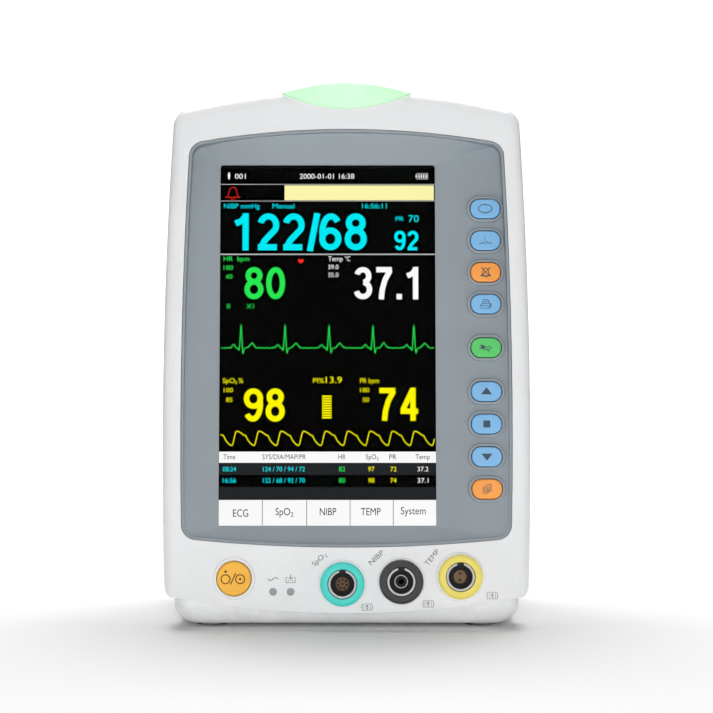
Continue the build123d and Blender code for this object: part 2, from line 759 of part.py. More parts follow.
def display_bezel():
    """Grey bezel: thin rim, facets, key collars and the flange that holds it behind the housing."""
    body = between(well_outline(-FIT_GAP), -30, 12) & under_face(-WELL_RIM_DROP)
    flange = between(well_outline(FLANGE), -30, 12) & under_face(-WALL)
    body = body + (flange - under_face(-WALL - FLANGE_THICK))
    body = body - dish()
    for v in KEY_V:
        collar = key_plate(SLIDE_GAP + KEY_RING, -BEZEL_WALL / 2, KEY_RING_TOP, key_place(v))
        body = body + glass_to_panel(fillet(collar.faces().sort_by(Axis.Z)[-1].edges(), KEY_RING * 0.4))
    for v in KEY_V:
        body = body - glass_to_panel(key_plate(SLIDE_GAP, -20, 20, key_place(v)))
    body = body - glass_to_panel(screen_plate(0, -WELL_DEPTH, 1.0))
    body = body - glass_to_panel(screen_plate(WINDOW_MARGIN + FIT_GAP, -WELL_DEPTH, -WINDOW_LIP))
    behind = block((-WAIST_HALF, WAIST_HALF), (-WAIST_V, CROWN_V), (-40, -BEZEL_WALL))
    body = body - glass_to_panel(behind)
    for side in (-1, 1):
        at = (side * BEZEL_POST[0], BEZEL_POST[1])
        seat = glass_level(at[1]) - BEZEL_WALL / 2
        body = body + rod(HOUSING_POST_RADIUS, CHASSIS_W, seat, at=at)
        body = body - rod(SCREW_RADIUS, CHASSIS_W - 1, CHASSIS_W + SCREW_LENGTH, at=at)
    return on_panel(body)


def display_window():
    """Clear pane over the screen."""
    return on_glass(screen_plate(WINDOW_MARGIN, -WINDOW_LIP - WINDOW_THICK, -WINDOW_LIP))


def window_gasket():
    """Foam frame between the pane and the display module."""
    top = -WINDOW_LIP - WINDOW_THICK
    ring = screen_plate(WINDOW_MARGIN, top - GASKET_THICK, top) - screen_plate(0.3, top - 5, top + 1)
    return on_glass(ring)


def lcd_block(grow, low, high):
    """The display module's outline, grown by grow, between two heights in the glass frame."""
    left = SCREEN_LEFT - LCD_SIDE - grow
    right = SCREEN_LEFT + SCREEN_WIDTH + LCD_SIDE + grow
    return block((left, right), (-LCD_END - grow, SCREEN_HEIGHT + LCD_HEAD + grow), (low, high))


def lcd_panel():
    """Display module."""
    body = lcd_block(0, LCD_BACK, LCD_TOP)
    return on_glass(fillet(body.edges().filter_by(Axis.Z), 1.0))


def lcd_bracket():
    """Sheet-metal pan that clamps the display module to the bezel."""
    outside = lcd_block(FIT_GAP + BRACKET_SHEET, LCD_BACK - BRACKET_SHEET, -BEZEL_WALL)
    inside = lcd_block(FIT_GAP, LCD_BACK, 5)
    pan = outside - inside
    low_u = SCREEN_LEFT - LCD_SIDE + BRACKET_BAND
    high_u = SCREEN_LEFT + SCREEN_WIDTH + LCD_SIDE - BRACKET_BAND
    pitch = SCREEN_HEIGHT / BRACKET_HOLES
    for i in range(BRACKET_HOLES):
        rows = (pitch * i + BRACKET_BAND / 2, pitch * (i + 1) - BRACKET_BAND / 2)
        hole = block((low_u, high_u), rows, (LCD_BACK - 5, LCD_BACK + 1))
        pan = pan - fillet(hole.edges().filter_by(Axis.Z), BRACKET_BAND / 2)
    return on_glass(pan)


def key(v):
    """One rubber-topped key: a stadium cap on a flange that the bezel holds in."""
    top_of_flange = -BEZEL_WALL - LOOSE_GAP
    bottom = top_of_flange - KEY_FLANGE_THICK
    cap = key_plate(0, bottom, KEY_TOP, key_place(v))
    cap = fillet(cap.faces().sort_by(Axis.Z)[-1].edges(), KEY_EDGE)
    return on_glass(cap + key_plate(KEY_FLANGE, bottom, top_of_flange, key_place(v)))


def key_column(low, high):
    """A strip behind all the keys, in the glass frame."""
    reach = KEY_FLANGE + MAT_MARGIN
    places = [key_place(v)[1] for v in KEY_V]
    length = max(places) - min(places) + KEY_HEIGHT + 2 * reach
    middle = (max(places) + min(places)) / 2
    return plate(KEY_WIDTH + 2 * reach, length, 2.0, low, high, at=(KEY_U, middle))


def keypad_mat():
    """Silicone mat with a dome under each key, at the height of a pressed dome."""
    mat = key_column(MAT_BACK, MAT_TOP)
    for v in KEY_V:
        u, s = key_place(v)
        height = DOME_HEIGHT + MAT_SHEET / 2
        dome = Pos(u, s, DOME_TOP - height / 2) * Cone(DOME_FOOT_RADIUS, DOME_TOP_RADIUS, height)
        mat = mat + dome
    return on_glass(mat)


def keypad_board():
    """Circuit board behind the keypad mat."""
    return on_glass(key_column(MAT_BACK - BOARD_THICK, MAT_BACK))


def alarm_lamp_cover():
    """Translucent lens of the alarm lamp, hollow and open behind."""
    outside = between(lamp_outline(), -LAMP_DEPTH, EDGE_ROUND) & lamp_crown() & under_face(LAMP_FACE_PROUD)
    crown_edges = outside.faces().sort_by(Axis.Z)[-1].edges().sort_by(Axis.Y)[-1:]
    outside = fillet(crown_edges, LAMP_ROUND)
    hollow = between(lamp_outline(-LAMP_WALL), -2 * LAMP_DEPTH, EDGE_ROUND)
    hollow = hollow & lamp_crown(-LAMP_WALL) & under_face(LAMP_FACE_PROUD - 2 * LAMP_WALL)
    return on_panel(outside - hollow)


def alarm_lamp_board():
    """Board with the alarm light-emitting diodes, under the lamp cover."""
    top = LAMP_LOW_V
    board = block((-LED_BOARD_HALF, LED_BOARD_HALF), (top - BOARD_THICK, top), LED_BOARD_W)
    for i in range(LED_COUNT):
        u = (i - (LED_COUNT - 1) / 2) * LED_PITCH
        lit = (u - LED_SIZE / 2, u + LED_SIZE / 2)
        board = board + block(lit, (top - BOARD_THICK - LED_HEIGHT, top - BOARD_THICK / 2), LED_W)
    return on_panel(board)


def panel_boards():
    """The boards of the keypad and of the alarm lamp."""
    return Compound([keypad_board(), alarm_lamp_board()])


def power_button():
    """Round power button with its flange and stem."""
    level = face_level(POWER_U)
    at = (POWER_U, POWER_V)
    outer = abs(POWER_U) + POWER_RADIUS + POWER_FLANGE
    flange_top = face_level(outer) - WALL - LOOSE_GAP
    flange_low = flange_top - POWER_FLANGE_THICK
    cap = rod(POWER_RADIUS, flange_low, level + POWER_PROUD, at=at)
    cap = fillet(cap.faces().sort_by(Axis.Z)[-1].edges(), 0.8)
    flange = rod(POWER_RADIUS + POWER_FLANGE, flange_low, flange_top, at=at)
    stem = rod(POWER_STEM, POWER_SWITCH_TOP + POWER_TRAVEL + LOOSE_GAP, flange_low, at=at)
    return on_panel(cap + flange + stem)


def indicator_light_pipes():
    """Two clear rods that carry the status lights to the front."""
    pipes = []
    for u in PIPE_U:
        pipe = rod(PIPE_RADIUS, IO_BOARD_TOP, face_level(u) + PIPE_PROUD, at=(u, PIPE_V))
        pipes.append(on_panel(fillet(pipe.faces().sort_by(Axis.Z)[-1].edges(), PIPE_PROUD * 0.8)))
    return Compound(pipes)


def front_io_board():
    """Circuit board behind the front sockets, with the push switch of the power button."""
    low, high = IO_BOARD_V
    board = block((-IO_BOARD_HALF, IO_BOARD_HALF), (low, high), (IO_BOARD_TOP - BOARD_THICK, IO_BOARD_TOP))
    half = POWER_SWITCH_HALF
    base_z = (IO_BOARD_TOP - 0.5, POWER_SWITCH_TOP - POWER_SWITCH_PLUNGER)
    board = board + block((POWER_U - half, POWER_U + half), (POWER_V - half, POWER_V + half), base_z)
    board = board + rod(half / 2, IO_BOARD_TOP, POWER_SWITCH_TOP, at=(POWER_U, POWER_V))
    board = board - rod(AIR_TAIL_RADIUS + SLIDE_GAP, -2 * AIR_TAIL, 0, at=(SOCKET_U[1], SOCKET_V[1]))
    back = IO_BOARD_TOP - BOARD_THICK
    for u in IO_PART_U:
        place = (u - IO_PART_HALF, u + IO_PART_HALF)
        board = board + block(place, IO_PART_V, (back - IO_PART_HEIGHT, back + BOARD_THICK / 2))
    return on_panel(board)


def socket_collar():
    """Coloured ring round a socket, at the frame's origin."""
    ring = rod(COLLAR_RADIUS, BOSS_PROUD, COLLAR_HEIGHT)
    ring = fillet(ring.faces().sort_by(Axis.Z)[-1].edges(), COLLAR_ROUND)
    return ring - rod(SHELL_RADIUS, -1, COLLAR_HEIGHT + 1)


def socket_shell():
    """Metal socket shell: a plain bore for the plug, then a slightly tighter bore for the insert."""
    shell = rod(SHELL_RADIUS, -SHELL_TAIL, SHELL_PROUD)
    shell = chamfer(shell.faces().sort_by(Axis.Z)[-1].edges(), 0.4)
    shell = shell - rod(SOCKET_BORE, SHELL_SEAT, SHELL_PROUD + 1)
    shell = shell - rod(SOCKET_BORE - SHELL_STEP, SHELL_TAIL_WALL - SHELL_TAIL, SHELL_SEAT)
    top = SOCKET_BORE + KEYWAY_DEPTH
    return shell - block((-KEYWAY_HALF, KEYWAY_HALF), (SOCKET_BORE - 1, top), (SHELL_SEAT, SHELL_PROUD + 1))


def contact_insert(pins):
    """Insulating insert with a raised contact block that has a ring of pin holes."""
    radius = SOCKET_BORE - SHELL_STEP
    insert = rod(radius, SHELL_TAIL_WALL - SHELL_TAIL, INSERT_TOP - GROOVE_DEPTH)
    insert = insert + rod(CONTACT_RADIUS, -SHELL_TAIL / 2, INSERT_TOP)
    for i in range(pins):
        turn = 2 * math.pi * (i + 0.25) / pins
        at = (CONTACT_PITCH * math.cos(turn), CONTACT_PITCH * math.sin(turn))
        insert = insert - rod(CONTACT_PIN, INSERT_TOP - CONTACT_DEPTH, INSERT_TOP + 1, at=at)
    return insert


def contact_inserts():
    """The inserts of the three electrical sockets."""
    spo2, temp, ecg = [contact_insert(pins) for pins in CONTACT_COUNTS]
    return Compound([at_socket(spo2, 0), at_socket(temp, 2), at_left(ecg)])


def air_shell():
    """Metal shell of the air socket, with a way through its back for the nozzle's tail."""
    return socket_shell() - rod(AIR_TAIL_RADIUS, -SHELL_TAIL - 1, -SHELL_TAIL + SHELL_TAIL_WALL + 1)


def nibp_air_nozzle():
    """Air nozzle: a hollow spigot inside the socket and a tail for the hose."""
    radius = SOCKET_BORE - SHELL_STEP
    body = rod(radius, SHELL_TAIL_WALL - SHELL_TAIL, INSERT_TOP - GROOVE_DEPTH)
    body = body + rod(AIR_NOZZLE, -SHELL_TAIL + SHELL_TAIL_WALL + 1, INSERT_TOP)
    body = body + rod(AIR_TAIL_RADIUS, -AIR_TAIL, -SHELL_TAIL + SHELL_TAIL_WALL + 1)
    return at_socket(body - rod(AIR_BORE, -AIR_TAIL - 1, SHELL_SEAT + 1), 1)


def socket_nut():
    """Hexagon nut behind the panel, at the frame's origin."""
    hexagon = RegularPolygon(NUT_FLATS / 2, 6, major_radius=False)
    return between(hexagon, -BOSS_BACK - NUT_THICK, -BOSS_BACK) - rod(SHELL_RADIUS, -20, 20)


def at_socket(shape, index):
    """Moves a shape from the origin to one of the three front sockets."""
    return on_panel(Pos(SOCKET_U[index], SOCKET_V[index], 0) * shape)


def at_left(shape):
    """Moves a shape from the origin to the socket in the left side."""
    return shape.moved(LEFT_SOCKET.location)


def socket_nuts():
    """The four nuts that hold the socket shells."""
    return Compound([at_socket(socket_nut(), i) for i in range(3)] + [at_left(socket_nut())])


def rear_block(inset, back, front_w, low):
    """The rear housing's outside, or its cavity when inset: cut square below, rounded behind."""
    body = on_panel(between(rear_outline(inset), -2 * OVERALL_DEPTH, front_w))
    body = body & block((-WAIST_HALF, WAIST_HALF), (-OVERALL_DEPTH, back), (low, CROWN_V))
    face = body.faces().sort_by(Axis.Y)[-1]
    return fillet(face.edges().sort_by(Axis.Z)[1:], REAR_ROUND - inset)


def spigot():
    """Ring on the rear housing that locates inside the front housing."""
    inner = SPIGOT_INSET + SPIGOT_WALL
    front = CORNER_BACK - PARTING_GAP
    ring = between(rear_outline(SPIGOT_INSET), front - SPIGOT_ROOT, CORNER_BACK + SPIGOT_LENGTH)
    root = between(rear_outline(WALL / 2), front - SPIGOT_ROOT, front - WALL / 4)
    ring = ring + root - between(rear_outline(inner), front - 20, 0)
    keep = block((-WAIST_HALF, WAIST_HALF), (-OVERALL_DEPTH, OVERALL_DEPTH), (BASE_TOP + FIT_GAP, CROWN_V))
    return on_panel(ring) & keep


def handle_pocket():
    """The hand space of the carry handle: down behind the crown, then out under the bar."""
    front = REAR_FACE - HANDLE_BAR_DEPTH - HANDLE_MOUTH
    bar = REAR_FACE - HANDLE_BAR_DEPTH
    out = REAR_FACE + 5
    points = [
        (front, HANDLE_FLOOR_Z),
        (out, HANDLE_FLOOR_Z),
        (out, HANDLE_UNDER_Z),
        (bar, HANDLE_UNDER_Z),
        (bar, CROWN_V),
        (front, CROWN_V),
    ]
    profile = make_face(Polyline(*points, close=True))
    by_place = profile.vertices()
    under = by_place.sort_by_distance((bar, HANDLE_UNDER_Z, 0))[0]
    floor = by_place.sort_by_distance((front, HANDLE_FLOOR_Z, 0))[0]
    profile = fillet([under, floor], HANDLE_ROUND)
    half = HANDLE_WIDTH / 2
    side = Plane(origin=(-half, 0, 0), x_dir=(0, 1, 0), z_dir=(1, 0, 0))
    space = extrude(side * profile, HANDLE_WIDTH)
    ends = space.faces().sort_by(Axis.X)
    return fillet(ends[0].edges() + ends[-1].edges(), HANDLE_END_ROUND)


def battery_bay():
    """Walls of the battery bay, as a solid block and its two-step hollow."""
    back = REAR_FACE
    deep = back - DOOR_SHEET - BATTERY_THICK - BATTERY_GAP
    half_x, half_z = DOOR_WIDTH / 2, DOOR_HEIGHT / 2
    outer = block(
        (DOOR_X - half_x - BAY_WALL, DOOR_X + half_x + BAY_WALL),
        (deep - BAY_WALL, back - WALL / 2),
        (DOOR_Z - half_z - BAY_WALL, DOOR_Z + half_z + BAY_WALL),
    )
    hollow = block(
        (DOOR_X - half_x + DOOR_LEDGE, DOOR_X + half_x - DOOR_LEDGE),
        (deep, back + 5),
        (DOOR_Z - half_z + DOOR_LEDGE, DOOR_Z + half_z - DOOR_LEDGE),
    )
    return outer, hollow + rear_plate(FIT_GAP, back - DOOR_SHEET, back + 5)


def rear_plate(grow, low, high):
    """A plate in the shape of the battery door, grown by grow."""
    sheet = plate(DOOR_WIDTH + 2 * grow, DOOR_HEIGHT + 2 * grow, DOOR_CORNER + grow, 0, high - low)
    return Pos(DOOR_X, high, DOOR_Z) * Rot(90, 0, 0) * sheet


def grille_holes():
    """Round holes in rings in front of the speaker."""
    holes = [rod(GRILLE_HOLE, -REAR_HALF - 5, -REAR_HALF + WALL + 2, at=(SPEAKER_Y, SPEAKER_Z), axis=Axis.X)]
    for ring in range(1, GRILLE_RINGS + 1):
        for i in range(6 * ring):
            turn = 2 * math.pi * i / (6 * ring)
            y = SPEAKER_Y + ring * GRILLE_PITCH * math.cos(turn)
            z = SPEAKER_Z + ring * GRILLE_PITCH * math.sin(turn)
            holes.append(rod(GRILLE_HOLE, -REAR_HALF - 5, -REAR_HALF + WALL + 2, at=(y, z), axis=Axis.X))
    return holes


def vent_slots():
    """Upright cooling slots in the right side above the recorder."""
    slots = []
    for i in range(VENT_COUNT):
        y = REC_Y + (i - (VENT_COUNT - 1) / 2) * VENT_PITCH
        slot = block(
            (REAR_HALF - WALL - 2, REAR_HALF + 5),
            (y - VENT_WIDTH / 2, y + VENT_WIDTH / 2),
            (VENT_Z - VENT_LENGTH / 2, VENT_Z + VENT_LENGTH / 2),
        )
        slots.append(fillet(slot.edges().filter_by(Axis.X), VENT_WIDTH * 0.45))
    return slots


def mount_places():
    """The four holes of the rear mounting pattern."""
    half = MOUNT_PITCH / 2
    return [(x, MOUNT_Z + z) for x in (-half, half) for z in (-half, half)]


def rear_screw_places():
    """The four screws that hold the rear housing to the chassis posts."""
    return [(x, z) for x in (-REAR_SCREW_X, REAR_SCREW_X) for z in REAR_SCREW_Z]


def rear_walls():
    """The walls of the whole rear shell, with the carry handle's room cut out."""
    shell = rear_block(0, REAR_FACE, CORNER_BACK - PARTING_GAP, BASE_TOP)
    return shell - rear_block(WALL, REAR_FACE - WALL, CORNER_BACK + 10, BASE_TOP - 5) - handle_room()


def behind_seam():
    """Everything behind the seam between the rear housing and the back panel."""
    return block((-WAIST_HALF, WAIST_HALF), (REAR_SEAM, OVERALL_DEPTH), (0, CROWN_V))


def handle_room():
    """The part of the rear shell that the carry handle's moulding takes up."""
    half = HANDLE_WIDTH / 2 + WALL
    front = REAR_FACE - HANDLE_BAR_DEPTH - HANDLE_MOUTH - WALL
    return block((-half, half), (front, REAR_FACE + 1), (HANDLE_FLOOR_Z - WALL, CROWN_V))


def carry_handle():
    """Carry handle: the walls of the hand space and the bar across it."""
    outside = rear_block(0, REAR_FACE, CORNER_BACK - PARTING_GAP, BASE_TOP)
    return (handle_room() & outside) - handle_pocket()


def side_opening_levels():
    """Heights of the edges of the recorder's and the network port's openings, upwards."""
    recorder, port = REC_HEIGHT / 2 + FIT_GAP, PORT_HEIGHT / 2 + FIT_GAP
    return sorted((REC_Z - recorder, REC_Z + recorder, PORT_Z - port, PORT_Z + port))


def rear_housing():
    """White rear shell: its top and sides, with the recorder opening and the side sockets.

    Its walls are solids that meet face to face, level with the edges of the side openings.
    """
    shell = rear_walls() - behind_seam() + spigot()
    cuts = [rod(SHELL_RADIUS, -REAR_HALF - 5, -REAR_HALF + WALL + 3, at=(ECG_Y, ECG_Z), axis=Axis.X)]
    cuts.append(port_block(FIT_GAP, -REAR_HALF - 5, -REAR_HALF + WALL + 3))
    cuts.append(recorder_block(FIT_GAP, REC_OUT - 10, REC_OUT + 5))
    radius = COLLAR_RADIUS + BOSS_RIM
    boss = rod(radius, -REAR_HALF - BOSS_PROUD, -REAR_HALF + BOSS_BACK, at=(ECG_Y, ECG_Z), axis=Axis.X)
    whole = shell + boss - cuts - grille_holes() - vent_slots()
    levels = [0, *side_opening_levels(), CROWN_V]
    walls = []
    for low, high in zip(levels, levels[1:]):
        length = whole & block((-WAIST_HALF, WAIST_HALF), (-OVERALL_DEPTH, OVERALL_DEPTH), (low, high))
        walls += length.solids()
    return Compound(walls)


def back_panel():
    """White back panel with the battery bay, mounting bosses, power inlet opening and earth well."""
    panel = rear_walls() & behind_seam()
    for at in mount_places():
        panel = panel + rod(INSERT_BOSS, REAR_FACE - INSERT_LENGTH, REAR_FACE - WALL / 2, at=at, axis=Axis.Y)
    bay, hollow = battery_bay()
    well_floor = REAR_FACE - EARTH_WELL_DEPTH
    well = rod(
        EARTH_WELL_RADIUS + EARTH_WELL_WALL,
        well_floor - EARTH_WELL_WALL,
        REAR_FACE - WALL / 2,
        at=(EARTH_X, EARTH_Z),
        axis=Axis.Y,
    )
    cuts = [hollow, rod(EARTH_WELL_RADIUS, well_floor, REAR_FACE + 5, at=(EARTH_X, EARTH_Z), axis=Axis.Y)]
    for x, z in mount_places():
        cuts.append(rod(INSERT_RADIUS, REAR_FACE - INSERT_LENGTH - 1, REAR_FACE + 1, at=(x, z), axis=Axis.Y))
    for x, z in rear_screw_places():
        cuts.append(rod(SCREW_RADIUS, REAR_FACE - 10, REAR_FACE + 5, at=(x, z), axis=Axis.Y))
    cuts.append(inlet_block(-INLET_MARGIN + FIT_GAP, REAR_FACE - 10, REAR_FACE + 5))
    return panel + bay + well - cuts


def inlet_block(grow, low, high):
    """The power inlet's flange shape, grown by grow, between two places in depth."""
    sheet = plate(INLET_WIDTH + 2 * grow, INLET_HEIGHT + 2 * grow, INLET_CORNER + min(grow, 0), 0, high - low)
    return Pos(INLET_X, high, INLET_Z) * Rot(90, 0, 0) * sheet


def port_block(grow, low, high):
    """The network port's outside, grown by grow, between two places in width."""
    half_y, half_z = PORT_WIDTH / 2 + grow, PORT_HEIGHT / 2 + grow
    return block((low, high), (PORT_Y - half_y, PORT_Y + half_y), (PORT_Z - half_z, PORT_Z + half_z))


def recorder_block(grow, low, high):
    """The recorder's outside, grown by grow, between two places in width."""
    half_y, half_z = REC_WIDTH / 2 + grow, REC_HEIGHT / 2 + grow
    return block((low, high), (REC_Y - half_y, REC_Y + half_y), (REC_Z - half_z, REC_Z + half_z))


def handle_grip():
    """Soft strip under the handle bar."""
    depth = HANDLE_BAR_DEPTH - HANDLE_ROUND - 3
    middle = REAR_FACE - 3 - depth / 2
    length = HANDLE_WIDTH - 2 * GRIP_MARGIN
    return plate(length, depth, 4.0, HANDLE_UNDER_Z - GRIP_THICK, HANDLE_UNDER_Z, at=(0, middle))


def battery_door():
    """Battery door with a finger notch on its upper edge."""
    door = rear_plate(0, REAR_FACE - DOOR_SHEET, REAR_FACE)
    door = chamfer(door.faces().sort_by(Axis.Y)[-1].edges(), 0.5)
    notch = rod(6.0, REAR_FACE - 1.2, REAR_FACE + 1, at=(DOOR_X, DOOR_Z + DOOR_HEIGHT / 2 - 2), axis=Axis.Y)
    return door - notch


def battery_pack():
    """Rechargeable battery pack in its bay."""
    low = REAR_FACE - DOOR_SHEET - BATTERY_THICK
    half_x = DOOR_WIDTH / 2 - DOOR_LEDGE - BATTERY_GAP
    half_z = DOOR_HEIGHT / 2 - DOOR_LEDGE
    sides = (DOOR_X - half_x, DOOR_X + half_x)
    pack = block(sides, (low, low + BATTERY_THICK), (DOOR_Z - half_z, DOOR_Z + half_z))
    return fillet(pack.edges().filter_by(Axis.X), BATTERY_ROUND)


def inlet_socket(low):
    """Hollow of the power inlet: a rectangle with two cut corners."""
    half_x, half_z = INLET_SOCKET_WIDTH / 2, INLET_SOCKET_HEIGHT / 2
    middle_z = INLET_Z + INLET_SOCKET_RISE
    hollow = block(
        (INLET_X - half_x, INLET_X + half_x),
        (low, REAR_FACE + INLET_FLANGE + 1),
        (middle_z - half_z, middle_z + half_z),
    )
    upper = hollow.edges().filter_by(Axis.Y).sort_by(Axis.Z)[-2:]
    return chamfer(upper, INLET_SOCKET_CHAMFER)


def fuse_block(grow, low, high):
    """The fuse drawer's outside, grown by grow."""
    half_x, half_z = FUSE_WIDTH / 2 + grow, FUSE_HEIGHT / 2 + grow
    z = INLET_Z - FUSE_DROP
    return block((INLET_X - half_x, INLET_X + half_x), (low, high), (z - half_z, z + half_z))


def ac_inlet_body():
    """Power inlet with its flange, socket hollow and fuse drawer slot."""
    face = REAR_FACE + INLET_FLANGE
    flange = inlet_block(0, REAR_FACE, face)
    flange = chamfer(flange.faces().sort_by(Axis.Y)[-1].edges(), 0.6)
    body = flange + inlet_block(-INLET_MARGIN, REAR_FACE - INLET_DEPTH, REAR_FACE + 1)
    body = body - inlet_socket(face - INLET_SOCKET_DEPTH)
    return body - fuse_block(SLIDE_GAP, face - FUSE_LENGTH - SLIDE_GAP, face + 5)


def ac_inlet_pins():
    """The three contact pins inside the power inlet."""
    back = REAR_FACE + INLET_FLANGE - INLET_SOCKET_DEPTH
    middle_z = INLET_Z + INLET_SOCKET_RISE
    pins = []
    for i, rise in ((-1, -INLET_PIN_RISE), (0, INLET_PIN_RISE), (1, -INLET_PIN_RISE)):
        x, z = INLET_X + i * INLET_PIN_PITCH, middle_z + rise
        pin = block(
            (x - INLET_PIN_WIDTH / 2, x + INLET_PIN_WIDTH / 2),
            (back, back + INLET_PIN_LENGTH),
            (z - INLET_PIN_HEIGHT / 2, z + INLET_PIN_HEIGHT / 2),
        )
        pins.append(chamfer(pin.faces().sort_by(Axis.Y)[-1].edges(), 0.5))
    return Compound(pins)


def fuse_drawer():
    """Small drawer for the fuses, with a lip to pull it by and a hollow for two fuses."""
    face = REAR_FACE + INLET_FLANGE
    drawer = fuse_block(0, face - FUSE_LENGTH, face + 1.0)
    z = INLET_Z - FUSE_DROP
    for side in (-1, 1):
        x = INLET_X + side * FUSE_WIDTH / 4
        tray = block((x - 3.2, x + 3.2), (face - FUSE_LENGTH + 2, face - 3), (z - FUSE_HEIGHT / 2 + 1, z + 5))
        drawer = drawer - tray
    return drawer


def earth_stud():
    """Earth bonding pin on its flange, in the round well."""
    floor = REAR_FACE - EARTH_WELL_DEPTH
    at = (EARTH_X, EARTH_Z)
    flange = rod(EARTH_FLANGE_RADIUS, floor, floor + EARTH_FLANGE_THICK, at=at, axis=Axis.Y)
    pin = rod(EARTH_PIN_RADIUS, floor, REAR_FACE + EARTH_PIN_STAND, at=at, axis=Axis.Y)
    return flange + chamfer(pin.faces().sort_by(Axis.Y)[-1].edges(), 0.5)


def wall_mount_inserts():
    """Four brass inserts with a plain threaded bore in the rear face."""
    inserts = []
    for at in mount_places():
        body = rod(INSERT_RADIUS, REAR_FACE - INSERT_LENGTH, REAR_FACE, at=at, axis=Axis.Y)
        bore = rod(INSERT_BORE, REAR_FACE - INSERT_LENGTH - 1, REAR_FACE + 1, at=at, axis=Axis.Y)
        inserts.append(body - bore)
    return Compound(inserts)


def screw(at, seat, length):
    """A pan-head screw along Y with a hexagon socket: its head sits behind the seat."""
    head = rod(SCREW_HEAD, seat, seat + SCREW_HEAD_THICK, at=at, axis=Axis.Y)
    head = fillet(head.faces().sort_by(Axis.Y)[-1].edges(), 0.7)
    shank = rod(SCREW_RADIUS, seat - length, seat + 0.5, at=at, axis=Axis.Y)
    hexagon = extrude(RegularPolygon(SCREW_SOCKET, 6), SCREW_SOCKET_DEPTH + 1)
    hexagon = Pos(at[0], seat + SCREW_HEAD_THICK + 1, at[1]) * Rot(90, 0, 0) * hexagon
    return head + shank - hexagon


def case_screws():
    """Four screws in the rear housing and four through the chassis plate."""
    screws = [screw(at, REAR_FACE, WALL + 6.0) for at in rear_screw_places()]
    for at in chassis_screw_places():
        head = rod(SCREW_HEAD, CHASSIS_BACK - SCREW_HEAD_THICK, CHASSIS_BACK, at=at)
        shank = rod(SCREW_RADIUS, CHASSIS_BACK - 1, CHASSIS_W + SCREW_LENGTH - 2, at=at)
        screws.append(on_panel(head + shank))
    return Compound(screws)


def chassis_posts():
    """Four long posts to the back panel and four short ones to the main board."""
    posts = []
    start = CHASSIS_BACK + CHASSIS_SHEET / 2
    behind = on_panel(block((-WAIST_HALF, WAIST_HALF), (-WAIST_V, 2 * CROWN_V), (-3 * OVERALL_DEPTH, start)))
    for at in rear_screw_places():
        post = rod(POST_RADIUS, -OVERALL_DEPTH / 2, REAR_FACE - WALL, at=at, axis=Axis.Y) & behind
        posts.append(post - rod(SCREW_RADIUS, REAR_FACE - WALL - SCREW_LENGTH, REAR_FACE, at=at, axis=Axis.Y))
    for u in (MAIN_BOARD_U[0] + STANDOFF_INSET, MAIN_BOARD_U[1] - STANDOFF_INSET):
        for v in (MAIN_BOARD_V[0] + STANDOFF_INSET, MAIN_BOARD_V[1] - STANDOFF_INSET):
            posts.append(on_panel(rod(STANDOFF_RADIUS, BOARD_FRONT, start, at=(u, v))))
    return posts


def chassis_screw_places():
    """The four screws that hold the chassis plate to the front housing and the bezel."""
    return [(side * u, v) for u, v in (HOUSING_POST, BEZEL_POST) for side in (-1, 1)]


def chassis_plate():
    """Aluminium plate across the housing that everything inside is fixed to, with its posts."""
    middle = (CHASSIS_LOW_V + CHASSIS_HIGH_V) / 2
    height = CHASSIS_HIGH_V - CHASSIS_LOW_V
    sheet = plate(2 * CHASSIS_HALF, height, CHASSIS_CORNER, CHASSIS_BACK, CHASSIS_W, at=(0, middle))
    for v in CHASSIS_HOLE_V:
        sheet = sheet - plate(*CHASSIS_HOLE, CHASSIS_BACK - 1, CHASSIS_W + 1, at=(CHASSIS_HOLE_U, v))
    for at in chassis_screw_places():
        sheet = sheet - rod(SCREW_RADIUS, CHASSIS_BACK - 1, CHASSIS_W + 1, at=at)
    recorder_room = recorder_block(LOOSE_GAP, REC_OUT - REC_DEPTH - LOOSE_GAP, REC_OUT)
    return on_panel(sheet) - recorder_room + chassis_posts()


def main_board():
    """Main circuit board with its heat sink, memory and connectors."""
    board = block(MAIN_BOARD_U, MAIN_BOARD_V, (BOARD_FRONT - BOARD_THICK, BOARD_FRONT))
    back = BOARD_FRONT - BOARD_THICK
    sink = block(SINK_U, SINK_V, (back - SINK_BASE, back + 0.5))
    for i in range(SINK_FINS):
        left = SINK_U[0] + 1 + i * SINK_PITCH
        sink = sink + block((left, left + SINK_FIN), SINK_V, (back - SINK_HEIGHT, back - SINK_BASE / 2))
    for u, v, half_u, half_v, height in MAIN_BOARD_PARTS:
        board = board + block((u - half_u, u + half_u), (v - half_v, v + half_v), (back - height, back + 0.5))
    return on_panel(board + sink)


def power_supply_board():
    """Power supply board on the base, with its transformer and capacitors."""
    low = FOOT_STAND + WALL + POWER_BOARD_STAND
    board = block(POWER_BOARD_X, POWER_BOARD_Y, (low, low + BOARD_THICK))
    top = low + BOARD_THICK
    board = board + block(TRANSFORMER_X, TRANSFORMER_Y, (top - 0.5, top + TRANSFORMER_HEIGHT))
    for x in CAPACITOR_X:
        board = board + rod(CAPACITOR_RADIUS, top - 0.5, top + CAPACITOR_HEIGHT, at=(x, CAPACITOR_Y))
    for x in (POWER_BOARD_X[0] + STANDOFF_INSET, POWER_BOARD_X[1] - STANDOFF_INSET):
        for y in POWER_STANDOFF_Y:
            board = board + rod(STANDOFF_RADIUS, FOOT_STAND + WALL, low + 0.5, at=(x, y))
    return board


